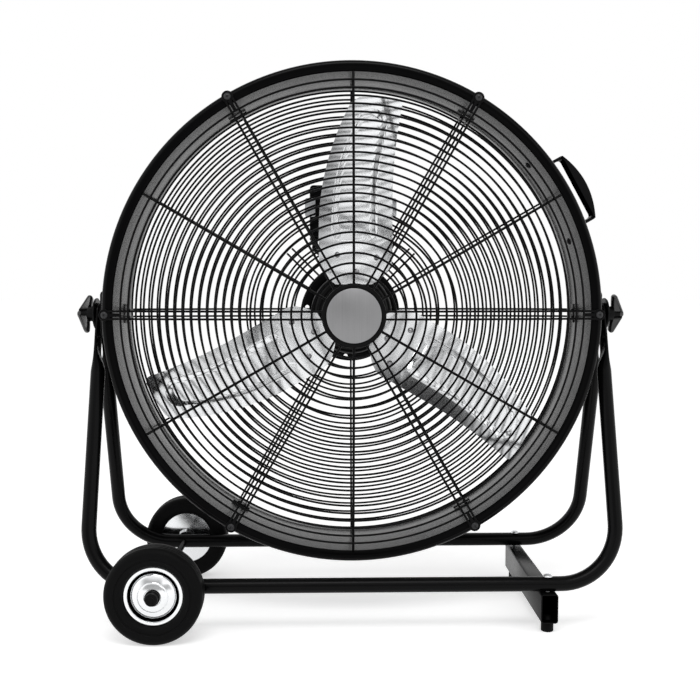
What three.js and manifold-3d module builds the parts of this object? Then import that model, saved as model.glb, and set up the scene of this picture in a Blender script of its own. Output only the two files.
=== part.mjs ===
// Drum fan on a tilting stand, in millimetres. X is to the right, Y to the back and Z up.
// The origin is on the floor, under the middle of the drum, and the drum's axis lies along Y.
import * as THREE from 'three';
import { mergeVertices, toCreasedNormals } from 'three/addons/utils/BufferGeometryUtils.js';
import Module from 'manifold-3d';

const wasm = await Module();
wasm.setup();

// ---------------------------------------------------------------- driving dimensions

const SEAT = 0.3;                      // gap between two pieces that touch
const RUNNING = 0.6;                   // play of a pin or a shaft in its hole

// Drum: a sheet steel band with a rolled rim at both ends
const DRUM_INNER_R = 312;
const DRUM_WALL = 1.8;
const DRUM_DEPTH = 118;
const DRUM_SEGMENTS = 48;
const RIM_WIDTH = 15;
const RIM_ROLL_R = 6;
const RIM_CORNER_R = 3;
const GROUND_CLEARANCE = 77;             // from the floor to the rim, with the drum level

// Wire guards
const WIRE_R = 1.3;
const WIRE_SIDES = 3;
const FRONT_BULGE = 28;
const FRONT_FIRST_RING_R = 53.5;
const FRONT_INNER_RINGS = 8;
const FRONT_INNER_PITCH = 13;
const FRONT_OUTER_PITCH = 10.4;
const FRONT_RING_INSET = 11.5;         // from the drum's inner wall to the front guard's last ring
const REAR_BULGE = 30;
const REAR_FIRST_RING_R = 82;
const REAR_PITCH = 11.4;
const REAR_INSET = 6;                  // rear guard's last ring, forward of the rear rim
const REAR_HOOP_PLAY = 0.8;            // between the rear guard and the drum's wall
const SPOKE_PAIRS = 6;
const SPOKE_PAIR_GAP = 10;
const SPOKE_STEPS = 4;
const RING_SEGMENTS = 24;
const SMALL_RING_SEGMENTS = 12;
const SMALL_RING_R = 80;
const ARM_ANGLES = [45, 135, 225, 315]; // short double wires that brace the motor plate
const ARM_REACH = 125;
const WELD = 0.5;                      // how far two welded wires sink into each other
const HUB_PLATE_R = 37;
const HUB_PLATE_THICKNESS = 3.2;
const HUB_CAP_R = 41;
const HUB_CAP_HEIGHT = 8;
const HUB_CAP_EDGE_R = 4;
const BADGE_R = 34.7;
const BADGE_THICKNESS = 1.2;
const LUG_R = 8.5;
const LUG_THICKNESS = 2;
const REAR_LUG_HEIGHT = 26;
const REAR_LUG_DEPTH = 24;
const REAR_LUG_WIDTH = 10;

// Screws
const SCREW_R = 2.4;
const SCREW_HEAD_R = 4.6;
const SCREW_HEAD_HEIGHT = 2.6;
const SCREW_LENGTH = 7;
const SCREW_SIDES = 6;

// Motor, hanging from a plate in the middle of the rear guard
const MOTOR_PLATE_R = 70;
const MOTOR_PLATE_THICKNESS = 2.5;
const MOTOR_PLATE_HOLE_R = 3;
const MOTOR_PLATE_HOLES = 4;
const MOTOR_PLATE_FIRST_HOLE = 83;
const SPOKE_PLATE_LAP = 9;             // how far the rear spokes reach over the motor plate
const MOTOR_R = 57;
const MOTOR_LENGTH = 58;
const MOTOR_BELL_R = 48;
const MOTOR_BELL_LENGTH = 22;
const MOTOR_BOSS_R = 14;
const MOTOR_BOSS_LENGTH = 4;
const SHAFT_INSERT = 20;
const MOTOR_FINS = 2;
const MOTOR_FIN_DEPTH = 2.5;
const SHAFT_R = 6;

// Rotor: three aluminium blades on a steel spider
const BLADES = 3;
const BLADE_FIRST_ANGLE = 90;
const ROTOR_Y = -22;                   // mid plane of the blades
const BLADE_ROOT_R = 40;
const BLADE_TIP_CLEARANCE = 25;        // from the blades' tips to the drum's inner wall
const BLADE_THICKNESS = 1.6;
const BLADE_ROOT_PITCH = 27;
const BLADE_TIP_PITCH = 19;
const BLADE_CAMBER = 7;
const BLADE_ROOT_LEFT = 45;            // the turned edge, left of the blade's centre line
const BLADE_SHOULDER_R = 123;          // where the turned edge starts to slant
const BLADE_TIP_LEFT = 1.5;
const BLADE_LEFT_CURVE = 1.9;          // power by which each edge curves on its way to the tip
const BLADE_ROOT_RIGHT = 53;
const BLADE_TIP_RIGHT = 65;
const BLADE_RIGHT_CURVE = 3;
const BLADE_ROOT_ROUND = 34;
const BLADE_TIP_ROUND = 8;
const BLADE_STATIONS = 8;
const BLADE_CHORD_STEPS = 5;
const SPIDER_GAP = 0.8;                // between a blade's back and the arm that carries it
const SPIDER_HUB_R = 26;
const SPIDER_THICKNESS = 3;
const SPIDER_ARM_R = 88;
const SPIDER_ARM_ROOT = 30;            // the arm's width at the hub and under the rivets
const SPIDER_ARM_WIDTH = 72;
const HUB_LENGTH = 26;
const HUB_R = 13;
const SHAFT_NUT_R = 10;
const SHAFT_NUT_LENGTH = 8;

// Control box with the speed switch, behind the rear guard
const BOX_WIDTH = 118;
const BOX_HEIGHT = 74;
const BOX_DEPTH = 36;
const BOX_CORNER_R = 5;
const BOX_CENTRE_ABOVE_AXIS = 146;
const BOX_FRONT_Y = 82;
const BOX_COVER_THICKNESS = 3;
const BOX_TAB_WIDTH = 15;
const BOX_TAB_HEIGHT = 27;
const BOX_TAB_THICKNESS = 2;
const SPEED_KNOB_R = 17;
const SPEED_KNOB_HEIGHT = 17;
const SPEED_SHAFT_R = 3;
const SPEED_SHAFT_LENGTH = 12;
const BOX_TAB_CORNER_R = 3;
const BOX_TAB_STUD_R = 3.5;
const BOX_TAB_OVERHANG = 7;            // how far a tab reaches past the box's side
const BOX_TAB_RING = 7;                // the rear ring that the tabs' studs rest on
const GLAND_INSET = 6;                 // from the box's left side to the lead's axis
const GLAND_R = 6.5;
const GLAND_LENGTH = 11;
const GLAND_THREAD_R = 5;
const GLAND_THREAD_LENGTH = 8;
const LEAD_R = 3;
const LEAD_ANGLE = 113;                // between a pair of spokes and a single one

// Carry handle on the drum
const HANDLE_ANGLE = 29.25;
const HANDLE_SCREW_SPAN = 118;
const HANDLE_FOOT_LENGTH = 22;
const HANDLE_FOOT_THICKNESS = 6;
const HANDLE_LEG = 4;
const HANDLE_GRIP_CLEARANCE = 35;      // from the drum's wall to the straight side of the grip
const HANDLE_GRIP_END = 4.5;           // the grip's thickness at its ends and in the middle
const HANDLE_GRIP_MIDDLE = 18.5;
const HANDLE_WIDTH = 26;
const HANDLE_STEPS = 8;

// Stand: two bent tubes that cross at the pivots
const TUBE_R = 9.5;
const TUBE_SIDES = 8;
const LEG_CLEARANCE = 4;               // between the drum's rim and the legs
const STAND_HALF_DEPTH = 106;          // tube centres at the floor, before and behind the axis
const TUBE_HEIGHT = 61;
const BEND_R = 76;
const BEND_STEPS = 4;
const PADDLE_LENGTH = 48;
const PADDLE_WIDTH = 30;
const PADDLE_THICKNESS = 4;
const PADDLE_TAPER = 34;

// Pivots
const STUD_R = 4;
const BRACKET_WIDTH = 50;
const BRACKET_HEIGHT = 76;
const BRACKET_SHEET = 3;
const BRACKET_SLOPE = 8;
const PIVOT_WASHER_R = 25;
const PIVOT_WASHER_THICKNESS = 3.2;
const KNOB_WING = 54;
const KNOB_THICKNESS = 13;
const KNOB_REACH = 23.5;
const KNOB_WING_BACK = 6;              // from the boss's face to the back of the wings
const KNOB_WING_TIP = 8;
const KNOB_BOSS_R = 10.4;

// Wheels, on one axle through both bottom tubes
const AXLE_INSET = 16.5;               // from the end of the tubes' bend to the axle
const WHEEL_R = TUBE_HEIGHT;
const WHEEL_WIDTH = 34;
const WHEEL_SEGMENTS = 20;
const WHEEL_RIM_R = 37;
const WHEEL_CAP_R = 29.5;
const WHEEL_RIM_INSET = 7;
const AXLE_R = 4.5;
const AXLE_NUT_R = 9.5;
const AXLE_NUT_LENGTH = 10;
const WHEEL_GAP = 2.5;                 // between the tube and the wheel

// Foot bar on the other side
const FOOT_BAR_INSET = 16.5;           // from the end of the tubes' bend to the foot bar
const FOOT_BAR_WIDTH = 22;
const FOOT_BAR_HEIGHT = 38;
const FOOT_BAR_WALL = 1.8;
const FOOT_BAR_OVERHANG = 13;
const FOOT_R = 8;
const FOOT_PLUG_R = 4;
const FOOT_BOLT_R = 3;

// ---------------------------------------------------------------- derived places

const HALF_DEPTH = DRUM_DEPTH / 2;
const DRUM_OUTER_R = DRUM_INNER_R + DRUM_WALL;
const RIM_OUTER_R = DRUM_INNER_R + RIM_WIDTH;
const AXIS_HEIGHT = RIM_OUTER_R + GROUND_CLEARANCE;
const BLADE_TIP_R = DRUM_INNER_R - BLADE_TIP_CLEARANCE;
const WIRE_D = 2 * WIRE_R;
const RING_REACH = WIRE_R * Math.sin((2 * Math.PI) / WIRE_SIDES);
const SPOKE_REACH = WIRE_R * Math.cos(Math.PI / WIRE_SIDES);
const FRONT_INNER_SPAN = FRONT_FIRST_RING_R + (FRONT_INNER_RINGS - 1) * FRONT_INNER_PITCH;
const FRONT_LAST_RING_R = DRUM_INNER_R - FRONT_RING_INSET;
const FRONT_OUTER_SPAN = FRONT_LAST_RING_R - FRONT_INNER_SPAN;
const FRONT_OUTER_RINGS = Math.round(FRONT_OUTER_SPAN / FRONT_OUTER_PITCH);
const LUG_CENTRE_R = (DRUM_INNER_R + RIM_CORNER_R + RIM_OUTER_R - RIM_ROLL_R) / 2;
const LUG_FACE_Y = -HALF_DEPTH - SEAT - LUG_THICKNESS;
const FRONT_WIRE_Y = LUG_FACE_Y - WIRE_D;
const REAR_LAST_RING_R = DRUM_INNER_R - WIRE_R - REAR_HOOP_PLAY;
const REAR_SPAN = REAR_LAST_RING_R - REAR_FIRST_RING_R;
const REAR_RINGS = Math.round(REAR_SPAN / REAR_PITCH);
const REAR_WIRE_Y = HALF_DEPTH - REAR_INSET;
const REAR_TAB_R = DRUM_INNER_R * Math.cos(Math.PI / DRUM_SEGMENTS) - REAR_HOOP_PLAY;

// How far each guard stands out from its last ring, at a given radius, and where its rings lie.
const frontHeight = (r) => FRONT_BULGE * (1 - (r / FRONT_LAST_RING_R) ** 2);
const rearHeight = (r) => REAR_BULGE * (1 - (r / REAR_LAST_RING_R) ** 2);
const frontRingY = (r) => FRONT_WIRE_Y - frontHeight(r);
const rearRingY = (r) => REAR_WIRE_Y + rearHeight(r);
const frontRingRadii = [
  ...Array.from({ length: FRONT_INNER_RINGS }, (_, i) => FRONT_FIRST_RING_R + i * FRONT_INNER_PITCH),
  ...Array.from({ length: FRONT_OUTER_RINGS }, (_, i) => (
    FRONT_INNER_SPAN + ((i + 1) * FRONT_OUTER_SPAN) / FRONT_OUTER_RINGS)),
];
const rearRingRadii = Array.from({ length: REAR_RINGS + 1 }, (_, i) => (
  REAR_FIRST_RING_R + (i * REAR_SPAN) / REAR_RINGS));
const pairAngles = Array.from({ length: SPOKE_PAIRS }, (_, i) => (360 / SPOKE_PAIRS) * i);

const HUB_PLATE_Y = frontRingY(HUB_PLATE_R) + RING_REACH + WIRE_D;
const MOTOR_PLATE_Y = rearRingY(MOTOR_PLATE_R) - RING_REACH - SPOKE_REACH - WIRE_D - SEAT;
const SPIDER_Y = ROTOR_Y + BLADE_CAMBER + BLADE_THICKNESS / 2 + SPIDER_GAP + SPIDER_THICKNESS;
const bladeAngles = Array.from({ length: BLADES }, (_, i) => BLADE_FIRST_ANGLE + (360 / BLADES) * i);

const BOX_BACK_Y = BOX_FRONT_Y + BOX_DEPTH;
const BOX_BOTTOM_Z = BOX_CENTRE_ABOVE_AXIS - BOX_HEIGHT / 2;
const GLAND_X = GLAND_INSET - BOX_WIDTH / 2;
const GLAND_Y = BOX_FRONT_Y + BOX_DEPTH * 0.4;

const HANDLE_SCREW_ANGLE = THREE.MathUtils.radToDeg(Math.asin(HANDLE_SCREW_SPAN / 2 / DRUM_OUTER_R));
const handleScrewAngles = [HANDLE_ANGLE - HANDLE_SCREW_ANGLE, HANDLE_ANGLE + HANDLE_SCREW_ANGLE];

const LEG_CENTRE_X = RIM_OUTER_R + LEG_CLEARANCE + TUBE_R;
const WHEEL_X = AXLE_INSET + BEND_R - LEG_CENTRE_X;
const FOOT_BAR_X = LEG_CENTRE_X - BEND_R - FOOT_BAR_INSET;
const BRACKET_FACE_X = LEG_CENTRE_X - PADDLE_THICKNESS - 2 * SEAT;
const PADDLE_FACE_X = LEG_CENTRE_X + PADDLE_THICKNESS + SEAT / 2;
const KNOB_FACE_X = PADDLE_FACE_X + PIVOT_WASHER_THICKNESS + 2 * SEAT;
const AXLE_NUT_Y = STAND_HALF_DEPTH + TUBE_R + WHEEL_GAP + WHEEL_WIDTH - WHEEL_RIM_INSET + 5 + SEAT;
const FOOT_BAR_TOP = TUBE_HEIGHT - TUBE_R - SEAT;

// ---------------------------------------------------------------- geometry helpers

const radians = (degrees) => THREE.MathUtils.degToRad(degrees);

// Points on an arc in a plane, angles in degrees.
function arc(cx, cy, radius, from, to, steps) {
  const points = [];
  for (let i = 0; i <= steps; i += 1) {
    const angle = radians(from + ((to - from) * i) / steps);
    points.push([cx + radius * Math.cos(angle), cy + radius * Math.sin(angle)]);
  }
  return points;
}

function signedVolume(position, triangles) {
  const a = new THREE.Vector3();
  const b = new THREE.Vector3();
  const c = new THREE.Vector3();
  let volume = 0;
  for (let i = 0; i < triangles.length; i += 3) {
    a.fromBufferAttribute(position, triangles[i]);
    b.fromBufferAttribute(position, triangles[i + 1]);
    c.fromBufferAttribute(position, triangles[i + 2]);
    volume += a.dot(b.cross(c)) / 6;
  }
  return volume;
}

// A closed skin with shared corners, no collapsed triangles and its faces pointing out.
function closed(geometry) {
  const bare = geometry.clone();
  bare.deleteAttribute('normal');
  bare.deleteAttribute('uv');
  const merged = mergeVertices(bare, 1e-4);
  const source = merged.index.array;
  const kept = [];
  for (let i = 0; i < source.length; i += 3) {
    const [a, b, c] = [source[i], source[i + 1], source[i + 2]];
    if (a !== b && b !== c && c !== a) kept.push(a, b, c);
  }
  if (signedVolume(merged.attributes.position, kept) < 0) kept.reverse();
  merged.setIndex(kept);
  return merged;
}

function solid(geometry) {
  const { attributes, index } = closed(geometry);
  return new wasm.Manifold(new wasm.Mesh({
    numProp: 3,
    vertProperties: new Float32Array(attributes.position.array),
    triVerts: new Uint32Array(index.array),
  }));
}

function skin(manifold) {
  const mesh = manifold.getMesh();
  const geometry = new THREE.BufferGeometry();
  geometry.setAttribute('position', new THREE.BufferAttribute(mesh.vertProperties, 3));
  geometry.setIndex(new THREE.BufferAttribute(mesh.triVerts, 1));
  return geometry;
}

function join(...geometries) {
  return skin(geometries.map(solid).reduce((whole, piece) => whole.add(piece)));
}

function cut(body, ...tools) {
  return skin(tools.map(solid).reduce((rest, tool) => rest.subtract(tool), solid(body)));
}

// A profile of [radius, y] points turned round the Y axis.
function revolve(profile, segments) {
  const points = profile.map(([r, y]) => new THREE.Vector2(r, y));
  const last = points[points.length - 1];
  if (points[0].x > 0 || last.x > 0) points.push(points[0].clone());
  return closed(new THREE.LatheGeometry(points, segments));
}

function cylinder(radius, from, to, segments) {
  return revolve([[0, from], [radius, from], [radius, to], [0, to]], segments);
}

// A plate with the outline of [x, z] points, from one y to another, with round holes [x, z, radius].
function plate(outline, fromY, toY, holes = [], holeSteps = 12) {
  const shape = new THREE.Shape(outline.map(([x, z]) => new THREE.Vector2(x, z)));
  holes.forEach(([x, z, radius]) => {
    const rim = arc(x, z, radius, 0, -360, holeSteps).slice(0, -1);
    shape.holes.push(new THREE.Path(rim.map(([u, v]) => new THREE.Vector2(u, v))));
  });
  const geometry = new THREE.ExtrudeGeometry(shape, { depth: toY - fromY, bevelEnabled: false });
  return closed(geometry.rotateX(Math.PI / 2).translate(0, toY, 0));
}

function roundedRectangle(width, height, radius, steps = 3) {
  const x = width / 2 - radius;
  const z = height / 2 - radius;
  return [
    ...arc(x, z, radius, 0, 90, steps),
    ...arc(-x, z, radius, 90, 180, steps),
    ...arc(-x, -z, radius, 180, 270, steps),
    ...arc(x, -z, radius, 270, 360, steps),
  ];
}

// A closed skin through rings of points, with a flat face on the first and the last.
function loft(rings) {
  const count = rings[0].length;
  const positions = rings.flatMap((ring) => ring.flatMap((point) => point.toArray()));
  const index = [];
  for (let i = 0; i < rings.length - 1; i += 1) {
    for (let j = 0; j < count; j += 1) {
      const here = i * count + j;
      const next = i * count + ((j + 1) % count);
      index.push(here, here + count, next, next, here + count, next + count);
    }
  }
  const end = (rings.length - 1) * count;
  for (let low = 0, high = count - 1; high - low > 1; low += 1, high -= 1) {
    index.push(low, low + 1, high, end + low, end + high, end + low + 1);
    if (high - low > 2) {
      index.push(low + 1, high - 1, high, end + low + 1, end + high, end + high - 1);
    }
  }
  const geometry = new THREE.BufferGeometry();
  geometry.setAttribute('position', new THREE.Float32BufferAttribute(positions, 3));
  geometry.setIndex(index);
  return closed(geometry);
}

// A bar along a flat path: halfWidths(i) gives its reach in the path's plane and across it.
function sweep(path, across, sides, halfWidths) {
  return loft(path.map((point, i) => {
    const before = path[Math.max(i - 1, 0)];
    const after = path[Math.min(i + 1, path.length - 1)];
    const along = after.clone().sub(before).normalize();
    const inPlane = new THREE.Vector3().crossVectors(across, along).normalize();
    const [reach, thickness] = halfWidths(i);
    return arc(0, 0, 1, 0, 360, sides).slice(0, -1).map(([u, v]) => point.clone()
      .addScaledVector(inPlane, u * reach)
      .addScaledVector(across, v * thickness));
  }));
}

function wire(path, across, radius, sides = WIRE_SIDES) {
  return sweep(path, across, sides, () => [radius, radius]);
}

function turned(geometry, degrees) {
  return geometry.clone().rotateY(-radians(degrees));
}

function mesh(name, geometry, material) {
  const shaded = toCreasedNormals(closed(geometry), radians(35));
  const node = new THREE.Mesh(shaded, material);
  node.name = name;
  return node;
}

function finish(color, roughness, metalness) {
  return new THREE.MeshStandardMaterial({ color, roughness, metalness });
}

const POWDER_BLACK = finish(0x101113, 0.35, 0.2);
const WIRE_BLACK = finish(0x0c0d0e, 0.4, 0.2);
const MOTOR_BLACK = finish(0x151618, 0.5, 0.3);
const PLASTIC_BLACK = finish(0x141415, 0.45, 0);
const RUBBER = finish(0x17181a, 0.6, 0);
const ALUMINIUM = finish(0xc9ccd0, 0.32, 0.9);
const ZINC = finish(0xb4b8bc, 0.4, 0.9);
const CHROME = finish(0xd6d9dc, 0.16, 1);
const BADGE_GREY = finish(0x96979a, 0.45, 0.6);

// ---------------------------------------------------------------- drum

function rimProfile(side) {
  const face = side * HALF_DEPTH;
  const sign = (points) => points.map(([r, y]) => [r, face - side * y]);
  return [
    ...sign(arc(DRUM_INNER_R + RIM_CORNER_R, RIM_CORNER_R, RIM_CORNER_R, 180, 270, 1)),
    ...sign(arc(RIM_OUTER_R - RIM_ROLL_R, RIM_ROLL_R, RIM_ROLL_R, 270, 450, 4)),
    ...sign([[DRUM_OUTER_R, 2 * RIM_ROLL_R]]),
  ];
}

function drumShell() {
  const band = revolve([...rimProfile(-1), ...rimProfile(1).reverse()], DRUM_SEGMENTS);
  const guardHoles = pairAngles.map((angle) => turned(
    cylinder(SCREW_R + SEAT, -HALF_DEPTH - 1, -HALF_DEPTH + SCREW_LENGTH, SCREW_SIDES)
      .translate(LUG_CENTRE_R, 0, 0), angle));
  const handleHoles = handleScrewAngles.map((angle) => turned(
    radialHole(DRUM_INNER_R - 2, DRUM_OUTER_R + 2), angle));
  return cut(band, ...guardHoles, ...handleHoles);
}

function guardScrew(angle) {
  const head = -HALF_DEPTH - SEAT - LUG_THICKNESS - SEAT;
  const screw = revolve([
    [0, head - SCREW_HEAD_HEIGHT],
    [SCREW_HEAD_R * 0.6, head - SCREW_HEAD_HEIGHT],
    [SCREW_HEAD_R, head - SCREW_HEAD_HEIGHT / 2],
    [SCREW_HEAD_R, head],
    [SCREW_R, head],
    [SCREW_R, -HALF_DEPTH + SCREW_LENGTH - 1],
    [0, -HALF_DEPTH + SCREW_LENGTH - 1],
  ], SCREW_SIDES);
  return turned(screw.translate(LUG_CENTRE_R, 0, 0), angle);
}

// ---------------------------------------------------------------- wire guards

// A wire ring round the axis. Its section has a corner outward, so it reaches less far along Y.
function ring(radius, y) {
  const section = arc(radius, y, WIRE_R, 0, 360, WIRE_SIDES).slice(0, -1);
  return revolve(section, radius < SMALL_RING_R ? SMALL_RING_SEGMENTS : RING_SEGMENTS);
}

// A spoke on the inner side of the rings. Welded ones sink into the rings, the rest just clear them.
function spoke(ringY, from, to, offset, welded, tail = [], spokeSteps = SPOKE_STEPS) {
  const depth = RING_REACH + SPOKE_REACH + (welded ? -WELD : SEAT);
  const path = [];
  for (let i = 0; i <= spokeSteps; i += 1) {
    const r = from + ((to - from) * i) / spokeSteps;
    path.push(new THREE.Vector3(r, ringY(Math.hypot(r, offset)) + depth, offset));
  }
  tail.forEach(([r, y]) => path.push(new THREE.Vector3(r, y, offset)));
  return wire(path, new THREE.Vector3(0, 0, 1), WIRE_R);
}

// Single spokes stand halfway between the pairs; the first is welded to the rings.
function singleSpokes(ringY, from, to) {
  return pairAngles.map((angle, i) => turned(
    spoke(ringY, from, to, 0, i === 0), angle + 180 / SPOKE_PAIRS));
}

function pairedSpokes(ringY, from, to, tail) {
  return pairAngles.flatMap((angle) => [-1, 1].map((side) => turned(
    spoke(ringY, from, to, (side * SPOKE_PAIR_GAP) / 2, false, tail), angle)));
}

// The tab that a pair of wires ends on, screwed to the face of the drum's rim.
function frontLug() {
  const neck = FRONT_LAST_RING_R + WIRE_D + SEAT;
  const halfWidth = SPOKE_PAIR_GAP / 2 + WIRE_D;
  const outline = [
    [neck, -halfWidth],
    ...arc(LUG_CENTRE_R, 0, LUG_R, -75, 75, 5),
    [neck, halfWidth],
  ];
  return plate(outline, LUG_FACE_Y, LUG_FACE_Y + LUG_THICKNESS, [[LUG_CENTRE_R, 0, SCREW_R + SEAT]], 8);
}

function frontGuard() {
  const rings = frontRingRadii.map((r) => ring(r, frontRingY(r)));
  const hubPlate = cylinder(HUB_PLATE_R, HUB_PLATE_Y - HUB_PLATE_THICKNESS, HUB_PLATE_Y, 24);
  const start = HUB_PLATE_R - WIRE_R;
  const singles = singleSpokes(frontRingY, start, DRUM_INNER_R - SEAT);
  const tail = [
    [FRONT_LAST_RING_R + WIRE_D + SEAT, LUG_FACE_Y - WIRE_R + WELD],
    [LUG_CENTRE_R - SCREW_HEAD_R - 2 * SEAT, LUG_FACE_Y - WIRE_R + WELD],
  ];
  const pairs = pairedSpokes(frontRingY, start, FRONT_LAST_RING_R - WIRE_D, tail);
  const lugs = pairAngles.map((angle) => turned(frontLug(), angle));
  return join(hubPlate, ...singles, ...pairs, ...lugs, ...rings);
}

// The round cap over the middle of the front guard, with a shallow seat for the badge.
function guardHubCap() {
  const back = HUB_PLATE_Y - HUB_PLATE_THICKNESS - SEAT;
  const front = back - HUB_CAP_HEIGHT;
  const seat = front + BADGE_THICKNESS;
  return revolve([
    [0, back],
    [HUB_CAP_R, back],
    ...arc(HUB_CAP_R - HUB_CAP_EDGE_R, front + HUB_CAP_EDGE_R, HUB_CAP_EDGE_R, 0, -90, 3),
    [BADGE_R + SEAT, front],
    [BADGE_R + SEAT, seat],
    [0, seat],
  ], 24);
}

function hubBadge() {
  const seat = HUB_PLATE_Y - HUB_PLATE_THICKNESS - SEAT - HUB_CAP_HEIGHT + BADGE_THICKNESS;
  return cylinder(BADGE_R, seat - SEAT - BADGE_THICKNESS, seat - SEAT, 24);
}

// The tab against the drum's inner wall that ends a pair of rear wires.
function rearLug() {
  const wall = REAR_TAB_R;
  const end = -(REAR_WIRE_Y - REAR_LUG_DEPTH);
  const half = REAR_LUG_HEIGHT / 2;
  const outline = [[wall - LUG_THICKNESS, -half], [wall, -half], [wall, half], [wall - LUG_THICKNESS, half]];
  return plate(outline, end - REAR_LUG_WIDTH, end);
}

// Built like the front guard, facing -Y, and then turned to face the back.
function rearGuard() {
  const facing = (r) => -rearRingY(r);
  const rings = rearRingRadii.map((r) => ring(r, facing(r)));
  const start = MOTOR_PLATE_R - SPOKE_PLATE_LAP;
  const singles = singleSpokes(facing, start, REAR_LAST_RING_R);
  const wallR = REAR_TAB_R - LUG_THICKNESS - SPOKE_REACH + WELD;
  const tail = [[wallR, -REAR_WIRE_Y + WIRE_D], [wallR, -(REAR_WIRE_Y - REAR_LUG_DEPTH) - WELD]];
  const pairs = pairedSpokes(facing, start, REAR_LAST_RING_R - 3 * WIRE_D, tail);
  const lugs = pairAngles.map((angle) => turned(rearLug(), angle));
  const arms = ARM_ANGLES.flatMap((angle) => [-1, 1].map((side) => turned(
    spoke(facing, start, ARM_REACH, (side * SPOKE_PAIR_GAP) / 2, false, [], 1), angle)));
  const innerHoop = ring(start + WIRE_R, facing(start) + RING_REACH + SPOKE_REACH);
  return join(...singles, ...pairs, ...arms, innerHoop, ...lugs, ...rings).scale(1, -1, 1);
}

// ---------------------------------------------------------------- motor

function motorPlate() {
  const front = MOTOR_PLATE_Y - MOTOR_PLATE_THICKNESS;
  const disc = revolve([
    [0, MOTOR_PLATE_Y], [MOTOR_PLATE_R, MOTOR_PLATE_Y],
    [MOTOR_PLATE_R, front],
    [MOTOR_PLATE_R - 3, front - 1],
    [MOTOR_R + 1, front - 1],
    [MOTOR_R + SEAT, front],
    [0, front],
  ], 24);
  const holes = Array.from({ length: MOTOR_PLATE_HOLES }, (_, i) => turned(
    cylinder(MOTOR_PLATE_HOLE_R, front - 5, MOTOR_PLATE_Y + 5, 8)
      .translate((MOTOR_PLATE_R + MOTOR_R) / 2, 0, 0),
    MOTOR_PLATE_FIRST_HOLE + (360 / MOTOR_PLATE_HOLES) * i));
  return cut(disc, ...holes);
}

// The motor's can: ribbed round the outside, with a domed front bell and a bore for the shaft.
function motorBody() {
  const back = MOTOR_PLATE_Y - MOTOR_PLATE_THICKNESS - SEAT;
  const front = back - MOTOR_LENGTH;
  const pitch = (MOTOR_LENGTH - MOTOR_BELL_LENGTH) / MOTOR_FINS;
  const profile = [[0, back], [MOTOR_R, back]];
  for (let i = 0; i < MOTOR_FINS; i += 1) {
    const y = back - pitch * (i + 0.5);
    profile.push([MOTOR_R, y], [MOTOR_R - MOTOR_FIN_DEPTH, y - pitch * 0.15]);
    profile.push([MOTOR_R - MOTOR_FIN_DEPTH, y - pitch * 0.4], [MOTOR_R, y - pitch / 2]);
  }
  profile.push(
    [MOTOR_BELL_R, front + MOTOR_BELL_LENGTH / 3],
    [MOTOR_BELL_R * 0.72, front],
    [MOTOR_BOSS_R, front], [MOTOR_BOSS_R, front - MOTOR_BOSS_LENGTH],
    [SHAFT_R + RUNNING, front - MOTOR_BOSS_LENGTH],
    [SHAFT_R + RUNNING, front + SHAFT_INSERT + SEAT],
    [0, front + SHAFT_INSERT + SEAT],
  );
  return revolve(profile, 20);
}

// ---------------------------------------------------------------- rotor

// Where the blade's edges are at a given distance from the axis, left and right of its centre line.
function bladeEdges(r) {
  const rootRound = 1 - 0.5 * (1 - Math.min((r - BLADE_ROOT_R) / BLADE_ROOT_ROUND, 1)) ** 2;
  const tipRound = BLADE_TIP_ROUND * Math.max(1 - (BLADE_TIP_R - r) / BLADE_TIP_ROUND, 0) ** 2;
  const slant = Math.max((r - BLADE_SHOULDER_R) / (BLADE_TIP_R - BLADE_SHOULDER_R), 0);
  const spread = (r - BLADE_ROOT_R) / (BLADE_TIP_R - BLADE_ROOT_R);
  const left = BLADE_ROOT_LEFT + (BLADE_TIP_LEFT - BLADE_ROOT_LEFT) * slant ** BLADE_LEFT_CURVE;
  const right = BLADE_ROOT_RIGHT + (BLADE_TIP_RIGHT - BLADE_ROOT_RIGHT) * spread ** BLADE_RIGHT_CURVE;
  return [-left * rootRound + tipRound, right * rootRound - tipRound];
}

// A point of the pitched and cambered blade, x from its centre line and r from the axis.
function bladePoint(r, x, behind) {
  const share = (r - BLADE_ROOT_R) / (BLADE_TIP_R - BLADE_ROOT_R);
  const pitch = Math.tan(radians(BLADE_ROOT_PITCH + (BLADE_TIP_PITCH - BLADE_ROOT_PITCH) * share));
  const crown = BLADE_CAMBER * (1 - (x / BLADE_ROOT_RIGHT) ** 2);
  const sag = (BLADE_TIP_R - Math.sqrt(BLADE_TIP_R ** 2 - x ** 2)) * share;
  const y = ROTOR_Y - x * pitch + crown + behind * Math.hypot(1, pitch);
  return new THREE.Vector3(x, y, r - sag);
}

// A sheet that follows the blade's surface: edges(r) gives its left and right side.
function bladeSheet(radii, edges, front, back, chordSteps = BLADE_CHORD_STEPS) {
  return loft(radii.map((r) => {
    const [left, right] = edges(r);
    const xs = Array.from({ length: chordSteps + 1 }, (_, i) => left + ((right - left) * i) / chordSteps);
    return [
      ...xs.map((x) => bladePoint(r, x, front)),
      ...xs.reverse().map((x) => bladePoint(r, x, back)),
    ];
  }));
}

function blade() {
  const rounds = [0, 0.3, 1].map((share) => BLADE_ROOT_R + BLADE_ROOT_ROUND * share);
  const tips = [1, 0.35, 0].map((share) => BLADE_TIP_R - BLADE_TIP_ROUND * share);
  const middle = Array.from({ length: BLADE_STATIONS }, (_, i) => rounds[2]
    + ((tips[0] - rounds[2]) * (i + 1)) / (BLADE_STATIONS + 1));
  const radii = [...rounds, ...middle, ...tips];
  return bladeSheet(radii, bladeEdges, -BLADE_THICKNESS / 2, BLADE_THICKNESS / 2);
}

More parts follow.
